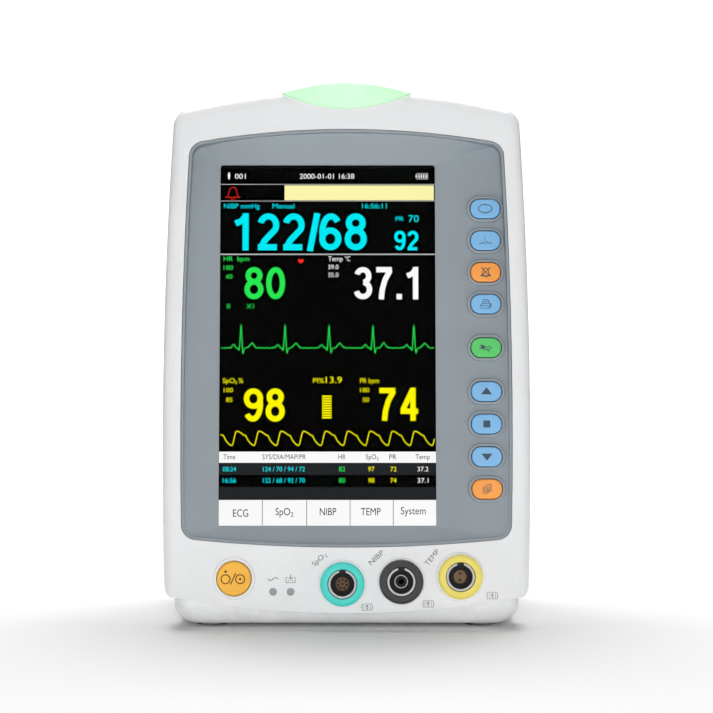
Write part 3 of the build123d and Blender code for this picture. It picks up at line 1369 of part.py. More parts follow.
def nibp_pump():
    """Cuff pump lying on the battery bay, with its motor end and its air port."""
    middle = PUMP_X[1] - 14
    pump = rod(PUMP_RADIUS, middle, PUMP_X[1], at=(PUMP_Y, PUMP_Z), axis=Axis.X)
    pump = pump + rod(PUMP_RADIUS - 1.5, PUMP_X[0], middle + 1, at=(PUMP_Y, PUMP_Z), axis=Axis.X)
    port_end = PUMP_Y - PUMP_RADIUS - PUMP_PORT_LENGTH
    port = rod(PUMP_PORT_RADIUS, port_end, PUMP_Y, at=(PUMP_PORT_X, PUMP_Z), axis=Axis.Y)
    return pump + port


def air_hose():
    """Hose from the air nozzle's tail, under the chassis plate and up to the pump's port."""
    start = PANEL.from_local_coords(Vector(SOCKET_U[1], SOCKET_V[1], -AIR_TAIL))
    away = PANEL.z_dir * -1
    length = (HOSE_RISE_Y - start.Y) / away.Y
    turn = start + away * length
    points = [
        start,
        turn,
        Vector(turn.X, HOSE_RISE_Y, PUMP_Z),
        Vector(PUMP_PORT_X, HOSE_RISE_Y, PUMP_Z),
        Vector(PUMP_PORT_X, PUMP_Y - PUMP_RADIUS - PUMP_PORT_LENGTH, PUMP_Z),
    ]
    route = FilletPolyline(*points, radius=list(HOSE_BENDS))
    return sweep(Plane(origin=start, z_dir=away) * Circle(HOSE_RADIUS), route)


def network_port():
    """Metal network port in the left side."""
    body = port_block(0, -REAR_HALF, -REAR_HALF + PORT_DEPTH)
    half_y, half_z = PORT_OPEN_WIDTH / 2, PORT_OPEN_HEIGHT / 2
    return body - block(
        (-REAR_HALF - 1, -REAR_HALF + PORT_OPEN_DEPTH),
        (PORT_Y - half_y, PORT_Y + half_y),
        (PORT_Z - half_z, PORT_Z + half_z),
    )


def speaker():
    """Loudspeaker behind the grille."""
    face = -REAR_HALF + WALL
    at = (SPEAKER_Y, SPEAKER_Z)
    frame = rod(SPEAKER_RADIUS, face, face + 2.5, at=at, axis=Axis.X)
    cone = Pos(face + 6, *at) * Rot(0, 90, 0) * Cone(SPEAKER_RADIUS - 2, SPEAKER_RADIUS * 0.5, 8)
    magnet = rod(SPEAKER_RADIUS * 0.55, face + 9, face + SPEAKER_DEPTH, at=at, axis=Axis.X)
    return frame + cone + magnet


def recorder_tub():
    """Recorder well: an open box with ears behind the side wall and two stub pins for the roll."""
    tub = recorder_block(0, REC_OUT - REC_DEPTH, REC_OUT)
    ear_x = (REC_OUT - WALL - REC_WALL, REC_OUT - WALL)
    half_z = REC_HEIGHT / 2 + REC_EAR
    across = (REC_Y - REC_WIDTH / 2 + REC_WALL, REC_Y + REC_WIDTH / 2 - REC_WALL)
    tub = tub + block(ear_x, across, (REC_Z - half_z, REC_Z + half_z))
    tub = tub - recorder_block(-REC_WALL, REC_OUT - REC_DEPTH + REC_WALL, REC_OUT + 5)
    for side in (-1, 1):
        wall = REC_Y + side * (REC_WIDTH / 2 - REC_WALL / 2)
        tip = REC_Y + side * (PAPER_WIDTH / 2 - PAPER_PIN_IN)
        pin = rod(PAPER_BORE - RUN_GAP, min(wall, tip), max(wall, tip), at=PAPER_PLACE, axis=Axis.Y)
        tub = tub + pin
    hinge = rod(HINGE_RADIUS, REC_Y - REC_WIDTH, REC_Y + REC_WIDTH, at=(HINGE_X, HINGE_Z), axis=Axis.Y)
    return tub - hinge


def recorder_hinge_pin():
    """Steel pin through the tub and the foot of the door."""
    half = REC_WIDTH / 2
    return rod(HINGE_RADIUS, REC_Y - half, REC_Y + half, at=(HINGE_X, HINGE_Z), axis=Axis.Y)


def recorder_door():
    """Recorder door: flat panel, round foot on the hinge pin and two ears for the platen roller."""
    half = REC_INNER_HALF - SLIDE_GAP
    door = block((HINGE_X, REC_OUT), (REC_Y - half, REC_Y + half), (HINGE_Z, REC_INNER_TOP - REC_SLIT))
    top = door.edges().filter_by(Axis.X).sort_by(Axis.Z)[-2:]
    door = fillet(top, 3.0)
    door = door + rod(HINGE_KNUCKLE, REC_Y - half, REC_Y + half, at=(HINGE_X, HINGE_Z), axis=Axis.Y)
    x, z = PLATEN_PLACE
    for side in (-1, 1):
        near = REC_Y + side * (PLATEN_LENGTH / 2 + LOOSE_GAP)
        far = near + side * PLATEN_EAR
        y = (min(near, far), max(near, far))
        ear = block((x, HINGE_X + 0.5), y, (z - PLATEN_EAR_HALF, z + PLATEN_EAR_HALF))
        door = door + ear + rod(PLATEN_EAR_HALF, *y, at=(x, z), axis=Axis.Y)
    door = door - rod(PLATEN_SHAFT + RUN_GAP, REC_Y - half, REC_Y + half, at=(x, z), axis=Axis.Y)
    hinge = (HINGE_X, HINGE_Z)
    door = door - rod(HINGE_RADIUS + RUN_GAP, REC_Y - half - 1, REC_Y + half + 1, at=hinge, axis=Axis.Y)
    return door - latch_block(SLIDE_GAP, REC_OUT - 10, REC_OUT + 5)


def latch_block(grow, low, high):
    """The latch button's outside, grown by grow."""
    half_y, half_z = LATCH_WIDTH / 2 + grow, LATCH_HEIGHT / 2 + grow
    z = REC_Z + LATCH_RISE
    return block((low, high), (REC_Y - half_y, REC_Y + half_y), (z - half_z, z + half_z))


def recorder_latch():
    """Push button that lets the recorder door go."""
    flange_out = REC_OUT - REC_DOOR_SHEET - LOOSE_GAP
    cap = latch_block(0, flange_out - LATCH_FLANGE_THICK, REC_OUT + LATCH_PROUD)
    cap = fillet(cap.faces().sort_by(Axis.X)[-1].edges(), LATCH_PROUD * 0.8)
    return cap + latch_block(LATCH_FLANGE, flange_out - LATCH_FLANGE_THICK, flange_out)


def platen_roller():
    """Rubber platen roller on its shaft, in the door's ears."""
    half = PLATEN_LENGTH / 2
    roller = rod(PLATEN_RADIUS, REC_Y - half, REC_Y + half, at=PLATEN_PLACE, axis=Axis.Y)
    reach = half + LOOSE_GAP + PLATEN_EAR
    shaft = rod(PLATEN_SHAFT, REC_Y - reach, REC_Y + reach, at=PLATEN_PLACE, axis=Axis.Y)
    return chamfer(roller.edges().filter_by(GeomType.CIRCLE), 0.3) + shaft


def paper_roll():
    """Roll of chart paper on its core."""
    half = PAPER_WIDTH / 2
    roll = rod(PAPER_RADIUS, REC_Y - half, REC_Y + half, at=PAPER_PLACE, axis=Axis.Y)
    roll = roll - rod(PAPER_BORE, REC_Y - half - 1, REC_Y + half + 1, at=PAPER_PLACE, axis=Axis.Y)
    outer = PAPER_BORE + PAPER_CORE_WALL + PAPER_STEP
    ring = rod(outer, REC_Y + half - PAPER_STEP, REC_Y + half + 1, at=PAPER_PLACE, axis=Axis.Y)
    ring = ring - rod(PAPER_BORE + PAPER_CORE_WALL, REC_Y, REC_Y + half + 2, at=PAPER_PLACE, axis=Axis.Y)
    return roll - ring


def print_head():
    """Thermal print head behind the platen roller, carried by the tub's back wall."""
    front = PLATEN_PLACE[0] - PLATEN_RADIUS - LOOSE_GAP
    back = REC_OUT - REC_DEPTH + REC_WALL
    depth, width, height = HEAD_SIZE
    z = PLATEN_PLACE[1]
    y = (REC_Y - width / 2, REC_Y + width / 2)
    head = block((front - depth, front), y, (z - height / 2, z + height / 2))
    return head + block((back, front - depth + 1), y, (z + height / 2 - 1.6, z + height / 2))


for name, height in zip(KEY_NAMES, KEY_V):
    write(key(height), name)
for name, index in (("spo2", 0), ("nibp", 1), ("temp", 2)):
    shell = air_shell() if name == "nibp" else socket_shell()
    write(at_socket(shell, index), f"{name}_socket_shell")
    write(at_socket(socket_collar(), index), f"{name}_collar")
write(at_left(socket_shell()), "ecg_socket_shell")
write(at_left(socket_collar()), "ecg_collar")
PIECES = (
    front_housing,
    display_bezel,
    display_window,
    window_gasket,
    lcd_panel,
    lcd_bracket,
    keypad_mat,
    panel_boards,
    alarm_lamp_cover,
    power_button,
    indicator_light_pipes,
    front_io_board,
    nibp_air_nozzle,
    contact_inserts,
    socket_nuts,
    base_tray,
    rubber_feet,
    rear_housing,
    back_panel,
    carry_handle,
    handle_grip,
    battery_door,
    battery_pack,
    ac_inlet_body,
    ac_inlet_pins,
    fuse_drawer,
    earth_stud,
    wall_mount_inserts,
    case_screws,
    chassis_plate,
    main_board,
    power_supply_board,
    nibp_pump,
    air_hose,
    network_port,
    speaker,
    recorder_tub,
    recorder_hinge_pin,
    recorder_door,
    recorder_latch,
    platen_roller,
    paper_roll,
    print_head,
)
for piece in PIECES:
    write(piece(), piece.__name__)
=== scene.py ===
"""Finishes, lit picture, printed legends and studio for an upright bedside vital-signs monitor."""

import json
import math

import bpy
import numpy as np
from mathutils import Matrix, Vector


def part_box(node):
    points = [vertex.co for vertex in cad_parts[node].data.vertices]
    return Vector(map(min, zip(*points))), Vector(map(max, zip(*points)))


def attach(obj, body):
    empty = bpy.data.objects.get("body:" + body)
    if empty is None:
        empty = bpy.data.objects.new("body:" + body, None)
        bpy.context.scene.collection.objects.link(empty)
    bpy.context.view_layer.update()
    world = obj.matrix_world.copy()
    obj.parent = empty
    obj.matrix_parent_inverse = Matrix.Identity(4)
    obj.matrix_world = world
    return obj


bl_info = {
    "name": "Bedside vital-signs monitor looks",
    "version": (1, 0, 0),
    "blender": (4, 5, 0),
    "location": "View3D > Sidebar > Monitor",
    "description": "Finishes, lit picture, legends and studio for a bedside vital-signs monitor",
    "category": "Object",
}

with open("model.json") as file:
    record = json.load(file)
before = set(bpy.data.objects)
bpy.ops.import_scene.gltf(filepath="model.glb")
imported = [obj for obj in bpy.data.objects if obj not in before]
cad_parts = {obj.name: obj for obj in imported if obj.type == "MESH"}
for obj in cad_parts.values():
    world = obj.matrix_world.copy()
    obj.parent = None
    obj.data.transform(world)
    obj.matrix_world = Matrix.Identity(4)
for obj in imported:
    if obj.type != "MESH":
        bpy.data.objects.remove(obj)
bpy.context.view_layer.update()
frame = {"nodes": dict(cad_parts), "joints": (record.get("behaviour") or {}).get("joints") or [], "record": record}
NODES = frame["nodes"]
MOUNTS = {m["name"]: m for m in frame["record"]["mounts"]}
JOINTS = {j["name"]: j for j in frame["joints"]}
MM = 0.001

# ---- the three frames that the body is drawn in ----
RIGHT = Vector((1, 0, 0))
PANEL_OUT = Vector(MOUNTS["spo2_socket"]["axis"]).normalized()
GLASS_OUT = -Vector(JOINTS["key_up_press"]["axis"]).normalized()
LEFT_OUT = Vector((-1, 0, 0))
BACK_OUT = Vector((0, 1, 0))
FACE_RADIUS = 0.9  # the front face is bowed to this radius across its width
WINDOW_MARGIN = 2.5 * MM  # the clear pane reaches this far past the picture
KEY_NAMES = [n for n in NODES if n.startswith("key_")]


def plane(origin, out, right=RIGHT):
    """A placement whose X is right and whose Z is out of the surface."""
    z = Vector(out).normalized()
    x = (Vector(right) - z * Vector(right).dot(z)).normalized()
    turn = Matrix((x, z.cross(x), z)).transposed().to_4x4()
    return Matrix.Translation(origin) @ turn


def reach(node, direction):
    """How far a CAD node's vertices reach along a direction: (lowest, highest)."""
    mesh = NODES[node].data
    co = np.empty(len(mesh.vertices) * 3, np.float32)
    mesh.vertices.foreach_get("co", co)
    along = co.reshape(-1, 3) @ np.array(direction, np.float32)
    return float(along.min()), float(along.max())


def picture_place():
    """The lower left corner of the lit picture, on the front of the display module."""
    up = GLASS_OUT.cross(RIGHT)
    left = reach("display_window", RIGHT)[0] + WINDOW_MARGIN
    low = reach("display_window", up)[0] + WINDOW_MARGIN
    front = reach("lcd_panel", GLASS_OUT)[1]
    return RIGHT * left + up * low + GLASS_OUT * front


# ---------------------------------------------------------------- sizes and colours


class MonitorSizes(bpy.types.PropertyGroup):
    """Sizes of the printed and lit detail."""

    print_thickness: bpy.props.FloatProperty(
        name="Print thickness", description="How far printed legends stand proud",
        default=0.05 * MM, unit="LENGTH", precision=5)
    glow_thickness: bpy.props.FloatProperty(
        name="Picture thickness", description="Thickness of the lit picture's marks",
        default=0.06 * MM, unit="LENGTH", precision=5)
    trace_width: bpy.props.FloatProperty(
        name="Trace width", description="Width of the waveform lines",
        default=0.42 * MM, unit="LENGTH", precision=5)
    letter_weight: bpy.props.FloatProperty(
        name="Letter weight", description="How much the lettering is thickened",
        default=0.028, min=0.0, max=0.08)
    glow: bpy.props.FloatProperty(
        name="Picture brightness", description="Light given out by the picture",
        default=1.0, min=0.0)
    key_light: bpy.props.FloatProperty(
        name="Front light", description="Power of the soft light in front",
        default=8.2, unit="POWER")
    side_light: bpy.props.FloatProperty(
        name="Side lights", description="Power of each soft light at the sides",
        default=0.4, unit="POWER")
    top_light: bpy.props.FloatProperty(
        name="Top light", description="Power of the soft light overhead",
        default=20.0, unit="POWER")
    gloss_light: bpy.props.FloatProperty(
        name="Mirrored light", description="Extra strength of the room where gloss mirrors it",
        default=0.65, min=0.0)
    room_light: bpy.props.FloatProperty(
        name="Room light", description="Strength of the even light all round",
        default=0.12, min=0.0)


def tint(label, r, g, b):
    """A colour that a user can change."""
    return bpy.props.FloatVectorProperty(
        name=label, description=f"Colour of the {label.lower()}",
        default=(r, g, b), subtype="COLOR", min=0.0, max=1.0)


class MonitorColours(bpy.types.PropertyGroup):
    """Colours of the mouldings, keys and collars, and of the lit picture."""

    shell: tint("White shell", 0.86, 0.87, 0.88)
    base: tint("White base", 0.86, 0.87, 0.88)
    bezel: tint("Grey bezel", 0.30, 0.34, 0.37)
    blue: tint("Blue keys", 0.22, 0.50, 0.83)
    orange: tint("Orange keys", 0.98, 0.36, 0.06)
    green: tint("Green key", 0.10, 0.62, 0.14)
    amber: tint("Power button", 0.96, 0.48, 0.03)
    lamp: tint("Alarm lamp", 0.58, 0.98, 0.62)
    turquoise: tint("Turquoise collar", 0.04, 0.70, 0.62)
    black: tint("Black collar", 0.02, 0.02, 0.023)
    yellow: tint("Yellow collar", 0.86, 0.72, 0.12)
    ink: tint("Printed legends", 0.06, 0.08, 0.11)
    lit_cyan: tint("Lit cyan", 0.0, 0.82, 0.90)
    lit_green: tint("Lit green", 0.02, 0.80, 0.08)
    lit_yellow: tint("Lit yellow", 0.98, 0.93, 0.0)
    lit_white: tint("Lit white", 0.97, 0.97, 0.97)
    lit_red: tint("Lit red", 0.95, 0.02, 0.01)
    lit_pale: tint("Lit pale yellow", 0.98, 0.93, 0.42)
    lit_grey: tint("Lit dark grey", 0.016, 0.018, 0.02)
    lit_black: tint("Lit black", 0.0, 0.0, 0.0)


def sizes():
    return bpy.context.scene.monitor_sizes


def colours():
    return bpy.context.scene.monitor_colours


# ---------------------------------------------------------------- shared shader groups


def new_group(name, inputs, outputs):
    """An empty shader group with float sockets, its input and output nodes."""
    group = bpy.data.node_groups.new(name, "ShaderNodeTree")
    group.interface.new_socket("Vector", in_out="INPUT", socket_type="NodeSocketVector")
    for label, value in inputs.items():
        socket = group.interface.new_socket(label, in_out="INPUT", socket_type="NodeSocketFloat")
        socket.default_value = value
    for label in outputs:
        group.interface.new_socket(label, in_out="OUTPUT", socket_type="NodeSocketFloat")
    return group, group.nodes.new("NodeGroupInput"), group.nodes.new("NodeGroupOutput")


def maths(tree, operation, a, b=None):
    """A Math node fed by sockets or numbers."""
    node = tree.nodes.new("ShaderNodeMath")
    node.operation = operation
    for i, value in enumerate((a, b)):
        if value is None:
            continue
        if isinstance(value, (int, float)):
            node.inputs[i].default_value = value
        else:
            tree.links.new(value, node.inputs[i])
    return node.outputs[0]


def noise(tree, vector, scale, detail=3.0, rough=0.5):
    """A noise value; scale is a number or a socket."""
    node = tree.nodes.new("ShaderNodeTexNoise")
    node.inputs["Detail"].default_value = detail
    node.inputs["Roughness"].default_value = rough
    tree.links.new(vector, node.inputs["Vector"])
    if isinstance(scale, (int, float)):
        node.inputs["Scale"].default_value = scale
    else:
        tree.links.new(scale, node.inputs["Scale"])
    return node.outputs["Fac"]


def spread(tree, value, low, high):
    """Maps a value between low and high to 0..1, smoothly."""
    node = tree.nodes.new("ShaderNodeMapRange")
    node.interpolation_type = "SMOOTHSTEP"
    node.inputs["From Min"].default_value = low
    node.inputs["From Max"].default_value = high
    tree.links.new(value, node.inputs["Value"])
    return node.outputs["Result"]


def moulded_grain():
    """Fine spark-eroded grain and the slow drift in tone of a moulding."""
    group, inlet, outlet = new_group("moulded grain", {"Grains per metre": 3200.0}, ("Height", "Tone"))
    fine = noise(group, inlet.outputs["Vector"], inlet.outputs["Grains per metre"], 2.0, 0.6)
    cells = group.nodes.new("ShaderNodeTexVoronoi")
    group.links.new(inlet.outputs["Vector"], cells.inputs["Vector"])
    group.links.new(inlet.outputs["Grains per metre"], cells.inputs["Scale"])
    both = maths(group, "ADD", fine, maths(group, "MULTIPLY", cells.outputs["Distance"], 0.5))
    group.links.new(both, outlet.inputs["Height"])
    slow = noise(group, inlet.outputs["Vector"], 24.0, 2.0)
    group.links.new(spread(group, slow, 0.3, 0.7), outlet.inputs["Tone"])
    return group


def handling_marks():
    """Faint finger smears and hairline scuffs as a 0..1 mask."""
    group, inlet, outlet = new_group("handling marks", {"Amount": 0.5}, ("Mask",))
    smear = spread(group, noise(group, inlet.outputs["Vector"], 55.0, 5.0, 0.62), 0.48, 0.72)
    stretch = group.nodes.new("ShaderNodeMapping")
    stretch.inputs["Rotation"].default_value = (0.3, 0.5, 0.7)
    stretch.inputs["Scale"].default_value = (1.0, 14.0, 14.0)
    group.links.new(inlet.outputs["Vector"], stretch.inputs["Vector"])
    scuff = spread(group, noise(group, stretch.outputs["Vector"], 60.0, 6.0, 0.7), 0.66, 0.78)
    both = maths(group, "MAXIMUM", maths(group, "MULTIPLY", smear, 0.7), scuff)
    group.links.new(maths(group, "MULTIPLY", both, inlet.outputs["Amount"]), outlet.inputs["Mask"])
    return group


def settled_dust():
    """Dust that gathers low on the body and in faint patches, as a 0..1 mask."""
    group, inlet, outlet = new_group("settled dust", {"Height": 0.05, "Amount": 0.2}, ("Mask",))
    split = group.nodes.new("ShaderNodeSeparateXYZ")
    group.links.new(inlet.outputs["Vector"], split.inputs["Vector"])
    ratio = maths(group, "DIVIDE", split.outputs["Z"], inlet.outputs["Height"])
    low = maths(group, "SUBTRACT", 1.0, ratio)
    low = maths(group, "MAXIMUM", low, 0.0)
    patch = spread(group, noise(group, inlet.outputs["Vector"], 90.0, 6.0, 0.6), 0.35, 0.75)
    mask = maths(group, "MULTIPLY", maths(group, "MULTIPLY", low, patch), inlet.outputs["Amount"])
    group.links.new(mask, outlet.inputs["Mask"])
    return group


def drawn_lines():
    """Fine lines left by turning or drawing metal, along X."""
    group, inlet, outlet = new_group("drawn lines", {"Lines per metre": 2500.0}, ("Height", "Tone"))
    stretch = group.nodes.new("ShaderNodeMapping")
    stretch.inputs["Scale"].default_value = (0.04, 1.0, 1.0)
    group.links.new(inlet.outputs["Vector"], stretch.inputs["Vector"])
    lines = noise(group, stretch.outputs["Vector"], inlet.outputs["Lines per metre"], 2.0, 0.6)
    group.links.new(lines, outlet.inputs["Height"])
    group.links.new(spread(group, lines, 0.35, 0.65), outlet.inputs["Tone"])
    return group


def board_tracks():
    """Copper tracks under a circuit board's lacquer, as a 0..1 mask."""
    group, inlet, outlet = new_group("board tracks", {"Tracks per metre": 260.0}, ("Mask",))
    cells = group.nodes.new("ShaderNodeTexVoronoi")
    cells.distance = "MANHATTAN"
    cells.feature = "F2"
    group.links.new(inlet.outputs["Vector"], cells.inputs["Vector"])
    group.links.new(inlet.outputs["Tracks per metre"], cells.inputs["Scale"])
    rings = maths(group, "FRACT", maths(group, "MULTIPLY", cells.outputs["Distance"], 6.0))
    group.links.new(spread(group, rings, 0.42, 0.5), outlet.inputs["Mask"])
    return group


def chart_grid():
    """The printed squares of chart paper, 5 mm apart, as a 0..1 mask."""
    group, inlet, outlet = new_group("chart grid", {"Squares per metre": 200.0}, ("Mask",))
    split = group.nodes.new("ShaderNodeSeparateXYZ")
    group.links.new(inlet.outputs["Vector"], split.inputs["Vector"])
    masks = []
    for axis in "YZ":
        ruled = maths(group, "MULTIPLY", split.outputs[axis], inlet.outputs["Squares per metre"])
        off = maths(group, "ABSOLUTE", maths(group, "SUBTRACT", maths(group, "FRACT", ruled), 0.5))
        masks.append(spread(group, off, 0.44, 0.48))
    group.links.new(maths(group, "MAXIMUM", *masks), outlet.inputs["Mask"])
    return group


GROUPS = {}


def build_groups():
    for make in (moulded_grain, handling_marks, settled_dust, drawn_lines, board_tracks, chart_grid):
        GROUPS[make.__name__] = make()


# ---------------------------------------------------------------- finishes


def start(name):
    """A new material with its shader and object coordinates."""
    material = bpy.data.materials.new(name)
    material.use_nodes = True
    tree = material.node_tree
    tree.nodes.clear()
    shader = tree.nodes.new("ShaderNodeBsdfPrincipled")
    out = tree.nodes.new("ShaderNodeOutputMaterial")
    tree.links.new(shader.outputs[0], out.inputs["Surface"])
    where = tree.nodes.new("ShaderNodeTexCoord").outputs["Object"]
    return material, tree, shader, where


def use(tree, name, vector, **values):
    """Places a shared group in a material with its own values."""
    node = tree.nodes.new("ShaderNodeGroup")
    node.node_tree = GROUPS[name]
    tree.links.new(vector, node.inputs["Vector"])
    for label, value in values.items():
        node.inputs[label.replace("_", " ")].default_value = value
    return node


def mixed(tree, mask, a, b):
    """Mixes two colours, given as sockets or numbers, by a mask."""
    node = tree.nodes.new("ShaderNodeMix")
    node.data_type = "RGBA"
    tree.links.new(mask, node.inputs["Factor"])
    for label, value in (("A", a), ("B", b)):
        socket = [s for s in node.inputs if s.name == label and s.type == "RGBA"][0]
        if isinstance(value, bpy.types.NodeSocket):
            tree.links.new(value, socket)
        else:
            socket.default_value = (*value[:3], 1.0)
    return [s for s in node.outputs if s.type == "RGBA"][0]


def shaded(colour, factor):
    return tuple(min(1.0, c * factor) for c in colour)


def set_fixed(shader, fixed):
    """Sets the numbers that are the same all over a surface."""
    for label, value in fixed.items():
        shader.inputs[label].default_value = value


def add_bump(tree, shader, height, strength, distance):
    bump = tree.nodes.new("ShaderNodeBump")
    bump.inputs["Strength"].default_value = strength
    bump.inputs["Distance"].default_value = distance
    tree.links.new(height, bump.inputs["Height"])
    tree.links.new(bump.outputs["Normal"], shader.inputs["Normal"])


def add_roughness(tree, shader, mask, rough, more):
    ranged = tree.nodes.new("ShaderNodeMapRange")
    ranged.inputs["To Min"].default_value = rough
    ranged.inputs["To Max"].default_value = rough + more
    tree.links.new(mask, ranged.inputs["Value"])
    tree.links.new(ranged.outputs["Result"], shader.inputs["Roughness"])


def moulded(name, colour, rough, grains=3200.0, bump=0.12, tone=0.03, marks=0.4, dust=0.0, **fixed):
    """Moulded plastic, rubber or silicone with grain, slow tone drift, handling marks and dust."""
    material, tree, shader, where = start(name)
    grain = use(tree, "moulded_grain", where, Grains_per_metre=grains)
    mark = use(tree, "handling_marks", where, Amount=marks).outputs["Mask"]
    base = mixed(tree, grain.outputs["Tone"], shaded(colour, 1 - tone), shaded(colour, 1 + tone))
    base = mixed(tree, maths(tree, "MULTIPLY", mark, 0.12), base, shaded(colour, 0.8))
    if dust:
        gathered = use(tree, "settled_dust", where, Amount=dust).outputs["Mask"]
        base = mixed(tree, gathered, base, (0.42, 0.40, 0.37))
    tree.links.new(base, shader.inputs["Base Color"])
    add_roughness(tree, shader, mark, rough, 0.16)
    add_bump(tree, shader, grain.outputs["Height"], bump, 0.00004)
    set_fixed(shader, fixed)
    return material


def metal(name, colour, rough, lines=2500.0, bump=0.1, tone=0.08):
    """Plated or drawn metal with fine lines and dulled patches."""
    material, tree, shader, where = start(name)
    drawn = use(tree, "drawn_lines", where, Lines_per_metre=lines)
    mark = use(tree, "handling_marks", where, Amount=0.8).outputs["Mask"]
    base = mixed(tree, drawn.outputs["Tone"], shaded(colour, 1 - tone), shaded(colour, 1 + tone))
    tree.links.new(base, shader.inputs["Base Color"])
    add_roughness(tree, shader, mark, rough, 0.2)
    add_bump(tree, shader, drawn.outputs["Height"], bump, 0.00002)
    set_fixed(shader, {"Metallic": 1.0})
    return material


def circuit(name):
    """Green lacquered board with copper tracks showing through."""
    material, tree, shader, where = start(name)
    tracks = use(tree, "board_tracks", where).outputs["Mask"]
    mark = use(tree, "handling_marks", where, Amount=0.3).outputs["Mask"]
    tree.links.new(mixed(tree, tracks, (0.012, 0.10, 0.045), (0.03, 0.20, 0.08)), shader.inputs["Base Color"])
    add_roughness(tree, shader, mark, 0.28, 0.2)
    add_bump(tree, shader, tracks, 0.3, 0.00003)
    return material


def chart_paper(name):
    """Thermal chart paper with a pale red grid."""
    material, tree, shader, where = start(name)
    grid = use(tree, "chart_grid", where).outputs["Mask"]
    fibre = use(tree, "moulded_grain", where, Grains_per_metre=5000.0)
    tree.links.new(mixed(tree, maths(tree, "MULTIPLY", grid, 0.5), (0.88, 0.86, 0.84), (0.85, 0.45, 0.42)),
                   shader.inputs["Base Color"])
    add_roughness(tree, shader, fibre.outputs["Tone"], 0.62, 0.1)
    add_bump(tree, shader, fibre.outputs["Height"], 0.2, 0.00002)
    return material


def clear_pane(name):
    """Clear anti-glare pane: faint smears in its gloss, almost no reflection."""
    material, tree, shader, where = start(name)
    mark = use(tree, "handling_marks", where, Amount=0.5).outputs["Mask"]
    add_roughness(tree, shader, mark, 0.02, 0.03)
    set_fixed(shader, {"Base Color": (1, 1, 1, 1), "Transmission Weight": 1.0, "IOR": 1.08, "Metallic": 0.0})
    return material


def lit(name, colour, strength):
    """A colour of the lit picture, with the display's fine rows in its brightness."""
    material, tree, shader, where = start(name)
    grain = use(tree, "moulded_grain", where, Grains_per_metre=6000.0)
    glow = mixed(tree, grain.outputs["Tone"], shaded(colour, 0.97), shaded(colour, 1.0))
    tree.links.new(glow, shader.inputs["Emission Color"])
    set_fixed(shader, {"Base Color": (0, 0, 0, 1), "Roughness": 0.6, "Emission Strength": strength,
                       "Specular IOR Level": 0.0})
    return material


def lamp_lens(name, colour):
    """Milky green lens: lighter towards its middle, softly lit through."""
    material, tree, shader, where = start(name)
    grain = use(tree, "moulded_grain", where, Grains_per_metre=2600.0)
    split = tree.nodes.new("ShaderNodeSeparateXYZ")
    tree.links.new(where, split.inputs["Vector"])
    off = spread(tree, maths(tree, "ABSOLUTE", split.outputs["X"]), 0.002, 0.03)
    base = mixed(tree, off, shaded(colour, 1.0), shaded(colour, 0.86))
    tree.links.new(base, shader.inputs["Base Color"])
    tree.links.new(base, shader.inputs["Emission Color"])
    add_roughness(tree, shader, grain.outputs["Tone"], 0.22, 0.08)
    add_bump(tree, shader, grain.outputs["Height"], 0.05, 0.00003)
    set_fixed(shader, {"Emission Strength": 0.32, "Subsurface Weight": 0.3,
                       "Subsurface Radius": (0.004, 0.006, 0.004), "Coat Weight": 0.4,
                       "Coat Roughness": 0.1})
    return material


FINISHES = {}


